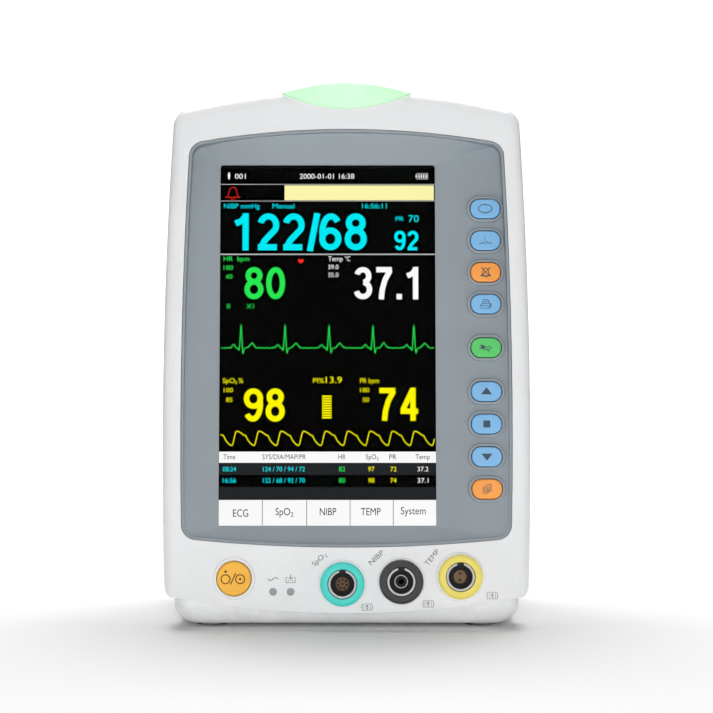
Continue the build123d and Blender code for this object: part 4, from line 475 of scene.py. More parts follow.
def build_finishes():
    """One finish for each of the record's material slots, and those of the new pieces."""
    c = colours()
    gloss = {"Coat Weight": 0.5, "Coat Roughness": 0.12}
    FINISHES.update({
        "white_shell": moulded("white_shell", c.shell, 0.36, 2600.0, 0.10, 0.012, dust=0.10, **gloss),
        "white_base": moulded("white_base", c.base, 0.38, 2600.0, 0.10, 0.012, dust=0.25, **gloss),
        "grey_bezel": moulded("grey_bezel", c.bezel, 0.42, 2400.0, 0.25, 0.03, 0.5),
        "window_pane": clear_pane("window_pane"),
        "foam": moulded("foam", (0.03, 0.03, 0.03), 0.9, 1500.0, 0.6),
        "display_module": moulded("display_module", (0.003, 0.003, 0.004), 0.5, marks=0.1,
                                  **{"Specular IOR Level": 0.1}),
        "sheet_steel": metal("sheet_steel", (0.62, 0.62, 0.61), 0.34),
        "silicone": moulded("silicone", (0.62, 0.63, 0.64), 0.55, 1800.0, 0.2),
        "circuit_board": circuit("circuit_board"),
        "lamp_lens": lamp_lens("lamp_lens", c.lamp),
        "light_pipe": moulded("light_pipe", (0.30, 0.31, 0.33), 0.25, 2600.0, 0.1, **gloss),
        "dark_insert": moulded("dark_insert", (0.19, 0.115, 0.06), 0.45, 4000.0, 0.3, 0.2),
        "nickel": metal("nickel", (0.74, 0.73, 0.70), 0.22),
        "black_rubber": moulded("black_rubber", (0.02, 0.02, 0.021), 0.75, 1800.0, 0.5, 0.1, dust=0.6),
        "soft_grip": moulded("soft_grip", (0.10, 0.105, 0.115), 0.7, 1400.0, 0.6, 0.08),
        "battery_wrap": moulded("battery_wrap", (0.05, 0.08, 0.16), 0.3, 900.0, 0.2, 0.05, **gloss),
        "black_plastic": moulded("black_plastic", (0.018, 0.018, 0.02), 0.42, 2400.0, 0.3, 0.1, 0.6),
        "contact_metal": metal("contact_metal", (0.83, 0.68, 0.34), 0.24),
        "brass_insert": metal("brass_insert", (0.74, 0.56, 0.25), 0.3, 1800.0, 0.4),
        "screw_steel": metal("screw_steel", (0.55, 0.55, 0.55), 0.3, 1800.0, 0.3),
        "plain_aluminium": metal("plain_aluminium", (0.72, 0.73, 0.75), 0.38),
        "pump_metal": metal("pump_metal", (0.50, 0.50, 0.52), 0.3),
        "hose_rubber": moulded("hose_rubber", (0.05, 0.05, 0.05), 0.5, 1500.0, 0.2),
        "socket_metal": metal("socket_metal", (0.66, 0.66, 0.66), 0.2, 3000.0, 0.08, 0.04),
        "grey_tub": moulded("grey_tub", (0.16, 0.17, 0.19), 0.5, 2200.0, 0.3),
        "grey_button": moulded("grey_button", (0.24, 0.26, 0.29), 0.45, 2200.0, 0.3),
        "chart_paper": chart_paper("chart_paper"),
        "blue_key": moulded("blue_key", c.blue, 0.34, 2600.0, 0.08, 0.03, **gloss),
        "orange_key": moulded("orange_key", c.orange, 0.34, 2600.0, 0.08, 0.03, **gloss),
        "green_key": moulded("green_key", c.green, 0.34, 2600.0, 0.08, 0.03, **gloss),
        "amber_button": moulded("amber_button", c.amber, 0.3, 2600.0, 0.06, 0.03, **gloss),
        "turquoise_collar": moulded("turquoise_collar", c.turquoise, 0.2, 2600.0, 0.05, 0.02, **gloss),
        "black_collar": moulded("black_collar", c.black, 0.2, 2600.0, 0.05, 0.1, **gloss),
        "yellow_collar": moulded("yellow_collar", c.yellow, 0.2, 2600.0, 0.05, 0.02, **gloss),
        "green_collar": moulded("green_collar", (0.06, 0.36, 0.14), 0.2, 2600.0, 0.05, 0.04, **gloss),
        "ink": moulded("ink", c.ink, 0.5, 4000.0, 0.1, 0.15),
        "brown_ink": moulded("brown_ink", (0.10, 0.035, 0.004), 0.45, 4000.0, 0.1, 0.15),
        "pale_ink": moulded("pale_ink", (0.11, 0.115, 0.125), 0.5, 4000.0, 0.1, 0.15),
        "socket_black": moulded("socket_black", (0.004, 0.004, 0.005), 0.5, 4000.0, 0.2, 0.1),
    })
    for label in ("cyan", "green", "yellow", "white", "red", "pale", "grey", "black"):
        name = "lit_" + label
        FINISHES[name] = lit(name, getattr(c, name), sizes().glow)


# ---------------------------------------------------------------- modelling helpers


def clear_selection():
    if bpy.context.object and bpy.context.object.mode != "OBJECT":
        bpy.ops.object.mode_set(mode="OBJECT")
    bpy.ops.object.select_all(action="DESELECT")


def pick(*objects):
    clear_selection()
    for o in objects:
        o.select_set(True)
    bpy.context.view_layer.objects.active = objects[0]


def tidy_solid(o, merge):
    """Merges an object's doubles and turns its faces outwards."""
    pick(o)
    bpy.ops.object.mode_set(mode="EDIT")
    bpy.ops.mesh.select_all(action="SELECT")
    bpy.ops.mesh.remove_doubles(threshold=merge)
    bpy.ops.mesh.normals_make_consistent(inside=False)
    bpy.ops.object.mode_set(mode="OBJECT")
    return o


def settle(o):
    """Applies an object's place so that it sits at the origin, unturned and unscaled."""
    pick(o)
    bpy.ops.object.transform_apply(location=True, rotation=True, scale=True)
    return o


def joined(objects, name):
    """Joins like pieces into one object."""
    pick(*objects)
    if len(objects) > 1:
        bpy.ops.object.join()
    o = bpy.context.object
    o.name = name
    o.data.name = name
    return o


def painted(o, finish):
    o.data.materials.clear()
    o.data.materials.append(FINISHES[finish])
    return o


def place(o, matrix, body):
    """Moves a piece drawn flat to its place on the body, and makes it ride there."""
    o.matrix_world = matrix @ o.matrix_world
    settle(o)
    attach(o, body)
    return o


def cutout(points, thick):
    """A flat shape with the given outline, from z = 0 up to its thickness."""
    clear_selection()
    bpy.ops.mesh.primitive_circle_add(vertices=len(points), fill_type="NGON")
    o = bpy.context.object
    for vertex, point in zip(o.data.vertices, points):
        vertex.co = (point[0], point[1], 0.0)
    bpy.ops.object.mode_set(mode="EDIT")
    bpy.ops.mesh.select_all(action="SELECT")
    bpy.ops.mesh.extrude_region_move(TRANSFORM_OT_translate={"value": (0, 0, thick)})
    bpy.ops.mesh.select_all(action="SELECT")
    bpy.ops.mesh.normals_make_consistent(inside=False)
    bpy.ops.object.mode_set(mode="OBJECT")
    return o


def bar(left, low, right, high, thick):
    return cutout([(left, low), (right, low), (right, high), (left, high)], thick)


def round_points(x, y, rx, ry, count=28, first=0.0, last=360.0):
    """Points of an ellipse or of a part of one."""
    whole = abs(last - first) >= 360.0
    steps = count if whole else count - 1
    turn = [math.radians(first + (last - first) * i / steps) for i in range(count)]
    return [(x + rx * math.cos(a), y + ry * math.sin(a)) for a in turn]


def disc(x, y, r, thick):
    return cutout(round_points(x, y, r, r), thick)


def stroke(points, width, thick, closed=False):
    """A drawn line of even width, rounded at its ends, flattened to a thickness."""
    clear_selection()
    curve = bpy.data.curves.new("stroke", "CURVE")
    curve.dimensions = "3D"
    curve.bevel_depth = width / 2
    curve.bevel_resolution = 2
    curve.use_fill_caps = True
    run = curve.splines.new("POLY")
    run.points.add(len(points) - 1)
    for knot, point in zip(run.points, points):
        knot.co = (point[0], point[1], 0.0, 1.0)
    run.use_cyclic_u = closed
    o = bpy.data.objects.new("stroke", curve)
    bpy.context.scene.collection.objects.link(o)
    pick(o)
    bpy.ops.object.convert(target="MESH")
    o = bpy.context.object
    o.scale = (1.0, 1.0, 2 * thick / width)
    settle(o)
    return tidy_solid(o, 1e-7)


def ribbon(points, width, thick):
    """A flat line of even width with square ends."""
    run = [Vector(p) for p in points]
    left, right = [], []
    for i, point in enumerate(run):
        ahead = run[min(i + 1, len(run) - 1)] - point
        behind = point - run[max(i - 1, 0)]
        along = (ahead.normalized() + behind.normalized()).normalized()
        across = Vector((-along.y, along.x)) * width / 2
        left.append(point + across)
        right.append(point - across)
    return cutout(left + right[::-1], thick)


def text_mesh(words, weight):
    """Lettering as a mesh of unit size, 1 thick."""
    clear_selection()
    bpy.ops.object.text_add()
    o = bpy.context.object
    o.data.body = words
    o.data.size = 1.0
    o.data.offset = weight
    o.data.extrude = 0.5
    o.data.resolution_u = 5
    bpy.ops.object.convert(target="MESH")
    return tidy_solid(bpy.context.object, 1e-5)


CAP_HEIGHT = 0.7


def lettering(words, left, low, cap, thick, width=None, weight=None, turn=0.0, middle=False):
    """Lettering with capitals of a height; width stretches it, middle centres it on left."""
    o = text_mesh(words, sizes().letter_weight if weight is None else weight)
    co = np.array([v.co[:] for v in o.data.vertices])
    lowest, highest = co.min(0), co.max(0)
    tall = cap / CAP_HEIGHT
    wide = tall * 0.92 if width is None else width / (highest[0] - lowest[0])
    start_x = (lowest[0] + highest[0]) / 2 if middle else lowest[0]
    shift = Matrix.Translation((-start_x, 0.0, 0.5))
    scale = Matrix.Diagonal((wide, tall, thick, 1.0))
    spin = Matrix.Rotation(math.radians(turn), 4, "Z")
    o.matrix_world = Matrix.Translation((left, low, 0.0)) @ spin @ scale @ shift
    return settle(o)


def scaled(points, size, x=0.0, y=0.0):
    return [(x + px * size, y + py * size) for px, py in points]


# ---------------------------------------------------------------- the lit picture


def arc(x, y, rx, ry, first, last):
    """An arc of a numeral, for capitals 1 high."""
    return round_points(x, y, rx, ry, 22, first, last)


def numeral_strokes():
    """Centre lines of the big numerals, 1 high and 0.6 wide."""
    bowl = [arc(0.3, 0.31, 0.215, 0.225, -15, 185), arc(0.3, 0.31, 0.215, 0.225, 165, 375)]
    six = bowl + [arc(0.32, 0.49, 0.235, 0.425, 42, 190)]
    loop = [arc(0.3, 0.735, 0.185, 0.18, -15, 185), arc(0.3, 0.735, 0.185, 0.18, 165, 375)]
    return {
        "0": [arc(0.3, 0.5, 0.215, 0.415, -15, 185), arc(0.3, 0.5, 0.215, 0.415, 165, 375)],
        "1": [[(0.37, 0.0), (0.37, 1.0)], [(0.38, 0.93), (0.26, 0.79), (0.1, 0.72)]],
        "2": [arc(0.3, 0.68, 0.21, 0.235, 165, -32) + [(0.2, 0.26), (0.11, 0.07)], [(0.02, 0.085), (0.53, 0.085)]],
        "3": [arc(0.285, 0.72, 0.19, 0.195, 165, -85), arc(0.285, 0.305, 0.215, 0.22, 85, -165)],
        "4": [[(0.41, 0.0), (0.41, 1.0)], [(0.39, 0.93), (0.09, 0.32)], [(0.02, 0.29), (0.57, 0.29)]],
        "6": six,
        "7": [[(0.04, 0.915), (0.54, 0.915)], [(0.49, 0.9), (0.32, 0.6), (0.23, 0.3), (0.2, 0.0)]],
        "8": bowl + loop,
        "9": [[(0.6 - x, 1.0 - y) for x, y in run] for run in six],
        "/": [[(0.05, -0.02), (0.25, 1.0)]],
        ".": [[(0.1, 0.0), (0.1, 0.17)]],
    }


NUMERAL_CELL = {"/": 0.3, ".": 0.26}
NUMERAL_PEN = 0.165


def numerals(words, left, low, cap, thick, width):
    """Big plain numerals between left and left + width."""
    strokes = numeral_strokes()
    cells = [NUMERAL_CELL.get(mark, 0.68) for mark in words]
    wide = width / (sum(cells) - 0.08)
    parts, x = [], 0.0
    for mark, cell in zip(words, cells):
        for run in strokes[mark]:
            points = [(left + (x + px) * wide, low + py * cap) for px, py in run]
            parts.append(ribbon(points, NUMERAL_PEN * cap, thick))
        x += cell
    return parts


def picture(parts, name, finish, level=0.0):
    """Joins marks of one colour and puts them on the front of the display module."""
    o = painted(joined(parts, name), finish)
    matrix = plane(picture_place(), GLASS_OUT) @ Matrix.Translation((0, 0, level))
    return place(o, matrix, "root")


SCREEN_WIDTH = 91.2
SCREEN_HEIGHT = 152.2
# words, left, base line, capital height, width or None; millimetres from the picture's lower left
CYAN_WORDS = (
    ("NIBP mmHg", 1.4, 135.0, 2.1, 15.2), ("Manual", 22.1, 135.0, 2.1, 9.3), ("16:56:11", 60.2, 135.0, 2.1, 10.5),
    ("122/68", 4.8, 116.9, 16.0, 57.5), ("PR", 74.5, 129.6, 1.9, 3.4), ("70", 80.0, 129.2, 2.9, 4.3),
    ("92", 73.9, 116.9, 8.5, 10.3),
    ("124 / 70 / 94 / 72", 18.5, 23.0, 2.0, 17.6), ("122 / 68 / 92 / 70", 18.5, 18.2, 2.0, 17.6),
    ("08:24", 1.6, 23.0, 2.0, 5.6), ("16:56", 1.6, 18.2, 2.0, 5.6),
)
GREEN_WORDS = (
    ("HR  bpm", 1.4, 112.3, 2.1, 11.0), ("180", 1.4, 108.6, 1.9, 4.0), ("60", 2.5, 104.8, 1.9, 2.7),
    ("80", 10.3, 95.9, 13.9, 17.3), ("II", 3.0, 92.0, 2.0, 1.2), ("X1", 11.2, 92.0, 2.0, 3.2),
    ("82", 50.4, 23.0, 2.0, 2.6), ("80", 50.4, 18.2, 2.0, 2.6),
)
YELLOW_WORDS = (
    ("SpO", 1.4, 60.3, 2.1, 5.0), ("2", 6.5, 59.9, 1.3, 0.9), ("%", 8.0, 60.3, 2.1, 2.0),
    ("100", 1.8, 56.4, 1.9, 3.9), ("85", 2.8, 52.3, 1.9, 2.7),
    ("98", 10.3, 43.9, 14.2, 17.3), ("PI%", 39.5, 60.3, 2.1, 4.6), ("13.9", 44.8, 60.3, 2.7, 6.9),
    ("PR bpm", 59.3, 60.3, 2.1, 8.0), ("180", 59.3, 56.4, 1.9, 3.9), ("50", 60.4, 52.3, 1.9, 2.7),
    ("74", 66.9, 44.3, 14.0, 17.3),
    ("97", 62.7, 23.0, 2.0, 2.6), ("72", 72.0, 23.0, 2.0, 2.6),
    ("98", 62.7, 18.2, 2.0, 2.6), ("74", 72.0, 18.2, 2.0, 2.6),
)
WHITE_WORDS = (
    ("001", 6.0, 147.8, 2.2, 4.6), ("2000-01-01", 33.6, 147.8, 2.2, 14.6), ("16:38", 50.4, 147.8, 2.2, 6.5),
    ("Temp", 45.8, 112.3, 2.1, 6.2), ("°C", 52.9, 112.3, 2.1, 2.3),
    ("39.0", 45.8, 108.9, 1.9, 4.4), ("35.0", 45.8, 105.5, 1.9, 4.4),
    ("37.1", 56.8, 95.9, 13.9, 29.1), ("37.2", 83.4, 23.0, 2.0, 4.6), ("37.1", 83.4, 18.2, 2.0, 4.6),
)
BLACK_WORDS = (
    ("Time", 1.8, 28.1, 2.1, 5.0), ("SYS/DIA/MAP/PR", 18.2, 28.1, 2.1, 18.3), ("HR", 50.2, 28.1, 2.1, 3.0),
    ("SpO", 61.8, 28.1, 2.1, 4.2), ("2", 66.2, 27.7, 1.3, 0.9), ("PR", 71.6, 28.1, 2.1, 3.0),
    ("Temp", 82.6, 28.1, 2.1, 6.0),
    ("ECG", 6.0, 4.0, 3.1, 6.4), ("SpO", 23.8, 4.6, 3.1, 6.2), ("2", 30.2, 4.0, 1.9, 1.2),
    ("NIBP", 42.4, 4.6, 3.1, 6.9), ("TEMP", 59.6, 4.6, 3.1, 8.3), ("System", 76.4, 5.0, 3.1, 10.4),
)
BIG_DIGITS = 6.0  # readings taller than this are drawn as big numerals
SMALL_WEIGHT = 0.0  # small words are left as thin as they come, so that their counters stay open


def words_of(rows, thick):
    """A row's lettering, as flat pieces in the picture's frame."""
    parts = []
    for words, *numbers in rows:
        left, low, cap, width = (number * MM for number in numbers)
        if cap > BIG_DIGITS * MM:
            parts += numerals(words, left, low, cap, thick, width)
        else:
            parts.append(lettering(words, left, low, cap, thick, width, SMALL_WEIGHT))
    return parts


def heart(x, y, r, thick):
    """A heart outline filled in."""
    points = []
    for i in range(32):
        a = 2 * math.pi * i / 32
        px = 16 * math.sin(a) ** 3
        py = 13 * math.cos(a) - 5 * math.cos(2 * a) - 2 * math.cos(3 * a) - math.cos(4 * a)
        points.append((x + r * px / 16, y + r * py / 16))
    return cutout(points, thick)


def person(x, y, size, thick):
    """A small standing figure."""
    return [
        disc(x, y + 0.75 * size, 0.22 * size, thick),
        cutout(scaled([(-0.3, -0.1), (0.3, -0.1), (0.34, 0.3), (0.2, 0.48), (-0.2, 0.48), (-0.34, 0.3)], size, x, y),
               thick),
        cutout(scaled([(-0.2, -0.8), (0.2, -0.8), (0.2, -0.08), (-0.2, -0.08)], size, x, y), thick),
    ]


def bell_outline(x, y, size):
    """A bell's outline, open below."""
    half = [(0.62, -0.5), (0.42, -0.22), (0.36, 0.2), (0.24, 0.44), (0.0, 0.56)]
    left = [(-px, py) for px, py in half]
    return scaled(left + half[-2::-1], size, x, y)


class MONITOR_OT_picture(bpy.types.Operator):
    """Adds the lit readings, bars and icons on the display"""

    bl_idname = "monitor.picture"
    bl_label = "Lit readings"

    def execute(self, context):
        thick = sizes().glow_thickness
        edge = SCREEN_WIDTH * MM
        picture([bar(0.0, 0.0, edge, SCREEN_HEIGHT * MM, thick / 4)], "picture_ground", "lit_black")
        picture(words_of(CYAN_WORDS, thick), "picture_cyan", "lit_cyan")
        picture(words_of(GREEN_WORDS, thick), "picture_green", "lit_green")
        bars = [bar(43.3 * MM, (45.3 + i) * MM, 47.3 * MM, (46.0 + i) * MM, thick) for i in range(10)]
        picture(words_of(YELLOW_WORDS, thick) + bars, "picture_yellow", "lit_yellow")
        white = words_of(WHITE_WORDS, thick) + person(3.5 * MM, 148.9 * MM, 1.7 * MM, thick)
        cell = [(83.6, 147.7), (88.2, 147.7), (88.2, 150.0), (83.6, 150.0)]
        white.append(stroke(scaled(cell, MM), 0.25 * MM, thick, closed=True))
        white.append(bar(83.0 * MM, 148.4 * MM, 83.5 * MM, 149.3 * MM, thick))
        white += [bar((84.3 + i) * MM, 148.1 * MM, (84.8 + i) * MM, 149.6 * MM, thick) for i in range(4)]
        for y in (145.3, 138.1, 115.3, 115.0):
            white.append(bar(0.0, y * MM, edge, (y + 0.14) * MM, thick / 2))
        white += [bar(0.0, 26.6 * MM, edge, 31.3 * MM, thick / 2), bar(0.0, 0.2 * MM, edge, 11.0 * MM, thick / 2)]
        picture(white, "picture_white", "lit_white")
        picture([bar(27.2 * MM, 138.5 * MM, 90.8 * MM, 144.9 * MM, thick)], "picture_alarm_bar", "lit_pale")
        grey = [bar(0.0, 21.5 * MM, edge, 26.3 * MM, thick / 2), bar(0.0, 11.4 * MM, edge, 16.4 * MM, thick / 2)]
        picture(grey, "picture_table_rows", "lit_grey")
        black = words_of(BLACK_WORDS, thick)
        black += [bar((x - 0.12) * MM, 0.3 * MM, (x + 0.12) * MM, 10.9 * MM, thick) for x in (18.3, 36.9, 55.1, 73.2)]
        picture(black, "picture_black", "lit_black", thick / 4)
        red = [heart(34.2 * MM, 112.3 * MM, 1.25 * MM, thick)]
        red.append(stroke(bell_outline(5.2 * MM, 141.9 * MM, 4.2 * MM), 0.28 * MM, thick))
        red.append(stroke(scaled([(2.0, 139.8), (8.4, 139.8)], MM), 0.28 * MM, thick))
        red.append(stroke(round_points(5.2 * MM, 139.7 * MM, 0.9 * MM, 0.9 * MM, 9, 180, 360), 0.28 * MM, thick))
        picture(red, "picture_red", "lit_red")
        return {"FINISHED"}


def bump_at(x, middle, width):
    return math.exp(-(((x - middle) / width) ** 2))


def heart_trace(x, beats):
    """Height of the heart trace above its base line."""
    y = 0.12 * math.sin(x * 2.3) + 0.08 * math.sin(x * 5.1)
    for beat in beats:
        y += 1.5 * bump_at(x, beat - 3.2, 0.75) - 1.1 * bump_at(x, beat - 0.85, 0.32)
        y += 9.9 * bump_at(x, beat, 0.42) - 2.6 * bump_at(x, beat + 0.85, 0.36) + 2.1 * bump_at(x, beat + 4.6, 1.1)
    return y


def pulse_trace(x, first, period):
    """Height of the pulse trace above its lowest point."""
    phase = ((x - first) / period + 0.22) % 1.0
    rise = 0.22
    if phase < rise:
        return 6.0 * 0.5 * (1 - math.cos(math.pi * phase / rise))
    fall = (phase - rise) / (1 - rise)
    return 6.0 * (0.5 + 0.5 * math.cos(math.pi * fall)) ** 0.8 + 0.9 * bump_at(fall, 0.52, 0.09)


class MONITOR_OT_traces(bpy.types.Operator):
    """Adds the two running waveforms on the display"""

    bl_idname = "monitor.traces"
    bl_label = "Waveforms"

    def execute(self, context):
        thick, width = sizes().glow_thickness, sizes().trace_width
        xs = [0.6 + 90.0 * i / 620 for i in range(621)]
        beats = (9.0, 27.6, 46.2, 64.8, 82.1)
        heart_line = [(x * MM, (75.2 + heart_trace(x, beats)) * MM) for x in xs]
        picture([stroke(heart_line, width, thick)], "picture_heart_trace", "lit_green")
        pulse_line = [(x * MM, (33.9 + pulse_trace(x, 7.35, 9.37)) * MM) for x in xs]
        picture([stroke(pulse_line, width, thick)], "picture_pulse_trace", "lit_yellow")
        return {"FINISHED"}


# ---------------------------------------------------------------- printed legends


def triangle(size, up, thick):
    sign = 1 if up else -1
    return cutout([(-size, -0.55 * size * sign), (size, -0.55 * size * sign), (0.0, 0.75 * size * sign)][::sign], thick)


def legend_cycle(line, thick):
    ring = stroke(round_points(0, 0, 2.9 * MM, 1.75 * MM, 40), line, thick, closed=True)
    heads = []
    for side in (-1, 1):
        tip = [(-0.55 * side, 1.75 * side), (0.35 * side, 2.2 * side), (0.35 * side, 1.3 * side)]
        heads.append(cutout(scaled(tip, MM), thick))
    return [ring] + heads


def legend_wave(line, thick):
    points = [(-2.6, -1.3), (-1.7, -1.3), (-1.3, -0.9), (-0.9, -1.3), (-0.7, -1.5), (-0.3, 2.0), (0.1, -1.6),
              (0.5, -1.0), (0.9, -0.55), (1.3, -1.2), (1.7, -1.0), (2.6, -1.3)]
    return [stroke(scaled(points, MM), line, thick)]


def legend_bell_off(line, thick):
    bell = stroke(bell_outline(0, 0, 3.1 * MM), line, thick)
    floor = stroke(scaled([(-2.2, -1.5), (2.2, -1.5)], MM), line, thick)
    clapper = stroke(round_points(0, -1.55 * MM, 0.7 * MM, 0.6 * MM, 8, 180, 360), line, thick)
    cross = [stroke(scaled([(-1.9 * s, 2.0), (1.9 * s, -1.9)], MM), line, thick) for s in (-1, 1)]
    return [bell, floor, clapper] + cross


def legend_printer(line, thick):
    tray = stroke(scaled([(-2.2, -1.9), (1.5, -1.9), (1.5, -0.9), (-2.2, -0.9)], MM), line, thick, closed=True)
    body = stroke(scaled([(-2.2, -0.9), (-1.5, 0.1), (2.2, 0.1), (1.5, -0.9)], MM), line, thick)
    side = stroke(scaled([(2.2, 0.1), (2.2, -1.0), (1.5, -1.9)], MM), line, thick)
    sheet = stroke(scaled([(-1.3, 0.1), (-1.1, 1.8), (0.5, 1.8), (1.3, 1.1), (1.3, 0.1)], MM), line, thick)
    rule = stroke(scaled([(-0.6, 0.9), (0.6, 0.9)], MM), line, thick)
    return [tray, body, side, sheet, rule]


def legend_cuff(line, thick):
    arm = stroke(scaled([(-2.6, 1.1), (-1.6, 0.9), (0.4, -0.1), (1.5, 0.4), (2.6, 0.0), (1.6, -0.7), (0.0, -1.0),
                         (-1.6, -0.5), (-2.9, -0.1)], MM), line, thick)
    cuff = cutout(scaled([(-1.9, 1.15), (-0.4, 0.6), (-0.9, -0.8), (-2.3, -0.2)], MM), thick)
    tube = stroke(scaled([(-0.4, -0.8), (0.8, -1.2), (1.5, -1.8)], MM), line, thick)
    return [arm, cuff, tube]


def legend_pages(line, thick):
    sheets = []
    for i in range(3):
        x, y = -1.7 + 0.75 * i, -1.7 + 0.6 * i
        outline = [(x, y + 2.4), (x, y), (x + 2.0, y), (x + 2.0, y + 2.4)]
        sheets.append(stroke(scaled(outline, MM), line, thick, closed=i == 2))
    return sheets


def legend_up(line, thick):
    return [triangle(2.3 * MM, True, thick)]


def legend_down(line, thick):
    return [triangle(2.3 * MM, False, thick)]


def legend_select(line, thick):
    half = 1.45 * MM
    return [bar(-half, -half, half, half, thick)]


LEGENDS = {
    "key_cycle": legend_cycle, "key_wave": legend_wave, "key_alarm_pause": legend_bell_off,
    "key_print": legend_printer, "key_cuff_start": legend_cuff, "key_up": legend_up,
    "key_select": legend_select, "key_down": legend_down, "key_pages": legend_pages,
}


def cap_centre(node, out):
    """The middle of a key's or button's outer face."""
    up = out.cross(RIGHT)
    middle = [sum(reach(node, d)) / 2 for d in (RIGHT, up)]
    return RIGHT * middle[0] + up * middle[1] + out * reach(node, out)[1]


class MONITOR_OT_legends(bpy.types.Operator):
    """Prints the nine key legends and the power button's"""

    bl_idname = "monitor.legends"
    bl_label = "Key legends"

    def execute(self, context):
        thick, line = sizes().print_thickness, 0.36 * MM
        for key, draw in LEGENDS.items():
            o = painted(joined(draw(line, thick), "legend_" + key), "ink")
            place(o, plane(cap_centre(key, GLASS_OUT), GLASS_OUT), key)
        ring = 1.85 * MM
        parts = [stroke(round_points(-3.45 * MM, -0.25 * MM, ring, ring, 30), 0.45 * MM, thick, closed=True),
                 disc(-3.45 * MM, 2.9 * MM, 0.5 * MM, thick),
                 stroke(scaled([(-1.35, -2.4), (0.75, 2.2)], MM), 0.45 * MM, thick),
                 stroke(round_points(2.6 * MM, -0.2 * MM, ring, ring, 30), 0.45 * MM, thick, closed=True),
                 disc(2.6 * MM, -0.2 * MM, 0.5 * MM, thick)]
        o = painted(joined(parts, "legend_power_button"), "brown_ink")
        place(o, plane(cap_centre("power_button", PANEL_OUT), PANEL_OUT), "power_button")
        return {"FINISHED"}


def socket_centre(name):
    return Vector(MOUNTS[name + "_socket"]["pos_m"])


def panel_zero():
    """The point of the panel frame that is on its plane, mid-width, at the sockets' own height datum."""
    centre = socket_centre("spo2")
    up = PANEL_OUT.cross(RIGHT)
    mount = MOUNTS["spo2_socket"]
    sunk = 0.5 * MM  # a socket's mount lies this far out of the panel plane
    return centre - PANEL_OUT * sunk - RIGHT * mount["pos_m"][0], up


def on_face(parts, name, finish, u, v, body="root"):
    """Joins printed marks and lays them on the bowed front face, u and v from the panel's datum."""
    o = painted(joined(parts, name), finish)
    o.matrix_world = Matrix.Translation((u, v, 0.0)) @ o.matrix_world
    settle(o)
    for vertex in o.data.vertices:
        vertex.co.z += math.sqrt(FACE_RADIUS**2 - vertex.co.x**2) - FACE_RADIUS
    origin = panel_zero()[0]
    return place(o, plane(origin, PANEL_OUT), body)


def applied_part_symbol(line, thick):
    """The usual mark of a part that may touch a patient and stands a defibrillator's pulse."""
    box = stroke(scaled([(-1.35, -1.35), (1.35, -1.35), (1.35, 1.35), (-1.35, 1.35)], MM), line, thick, closed=True)
    body = stroke(scaled([(0, 0.45), (0, -0.3), (-0.5, -1.0)], MM), line, thick)
    leg = stroke(scaled([(0, -0.3), (0.5, -1.0)], MM), line, thick)
    arms = stroke(scaled([(-0.7, 0.15), (0.7, 0.15)], MM), line, thick)
    head = disc(0, 0.72 * MM, 0.3 * MM, thick)
    parts = [box, body, leg, arms, head]
    for side in (-1, 1):
        run = [(1.75 * side, 1.5), (2.1 * side, 1.1), (2.1 * side, 0.3), (2.5 * side, 0.0), (2.1 * side, -0.3),
               (2.1 * side, -1.1), (1.75 * side, -1.5)]
        parts.append(stroke(scaled(run, MM), line, thick))
    return parts


class MONITOR_OT_panel_print(bpy.types.Operator):
    """Prints the socket names, symbols and indicator icons on the lower panel"""

    bl_idname = "monitor.panel_print"
    bl_label = "Lower panel print"

    def execute(self, context):
        thick = sizes().print_thickness
        datum = socket_centre("spo2")
        up = PANEL_OUT.cross(RIGHT)
        labels = (("spo2", -8.9, 9.6, 42.0, 7.0), ("nibp", -9.6, 9.3, 43.0, 7.4), ("temp", -10.9, 7.4, 50.0, 7.8))
        symbols = {"spo2": (10.2, -9.5), "nibp": (11.2, -9.2), "temp": (13.4, -7.8)}
        for name, du, dv, turn, width in labels:
            centre = socket_centre(name)
            u, v = centre.x, (centre - datum).dot(up)
            if name == "spo2":
                words = [lettering("SpO", -3.6 * MM, 0.0, 2.1 * MM, thick, 5.6 * MM, 0.0),
                         lettering("2", 2.4 * MM, -0.5 * MM, 1.4 * MM, thick, 1.0 * MM, 0.0)]
            else:
                words = [lettering(name.upper(), -width / 2 * MM, 0.0, 2.1 * MM, thick, width * MM, 0.0)]
            turned = joined(words, "words")
            turned.matrix_world = Matrix.Rotation(math.radians(turn), 4, "Z") @ turned.matrix_world
            settle(turned)
            on_face([turned], f"label_{name}", "pale_ink", u + du * MM, v + dv * MM)
            su, sv = symbols[name]
            on_face(applied_part_symbol(0.22 * MM, thick), f"symbol_{name}", "pale_ink", u + su * MM, v + sv * MM)
        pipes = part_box("indicator_light_pipes")
        pipe_left, pipe_right = pipes[0].x + 1.6 * MM, pipes[1].x - 1.6 * MM
        icon_v = 2.1 * MM
        wave = [(x / 10 * MM, 0.55 * MM * math.sin(x / 21 * math.pi)) for x in range(-21, 22)]
        on_face([stroke(wave, 0.36 * MM, thick)], "icon_mains", "pale_ink", pipe_left, icon_v)
        cell = scaled([(-1.9, -1.5), (1.9, -1.5), (1.9, 0.6), (1.3, 0.6)], MM)
        rest = scaled([(-1.9, -1.5), (-1.9, 0.6), (-1.3, 0.6)], MM)
        charge = [stroke(cell, 0.28 * MM, thick), stroke(rest, 0.28 * MM, thick),
                  stroke(scaled([(0, -0.1), (0, 1.9)], MM), 0.28 * MM, thick),
                  stroke(scaled([(-0.8, 0.8), (0, -0.1), (0.8, 0.8)], MM), 0.28 * MM, thick),
                  stroke(scaled([(-1.1, -0.6), (-0.5, -0.6)], MM), 0.28 * MM, thick),
                  stroke(scaled([(0.5, -0.6), (1.1, -0.6)], MM), 0.28 * MM, thick)]
        on_face(charge, "icon_battery", "pale_ink", pipe_right, icon_v)
        return {"FINISHED"}


# ---------------------------------------------------------------- sockets


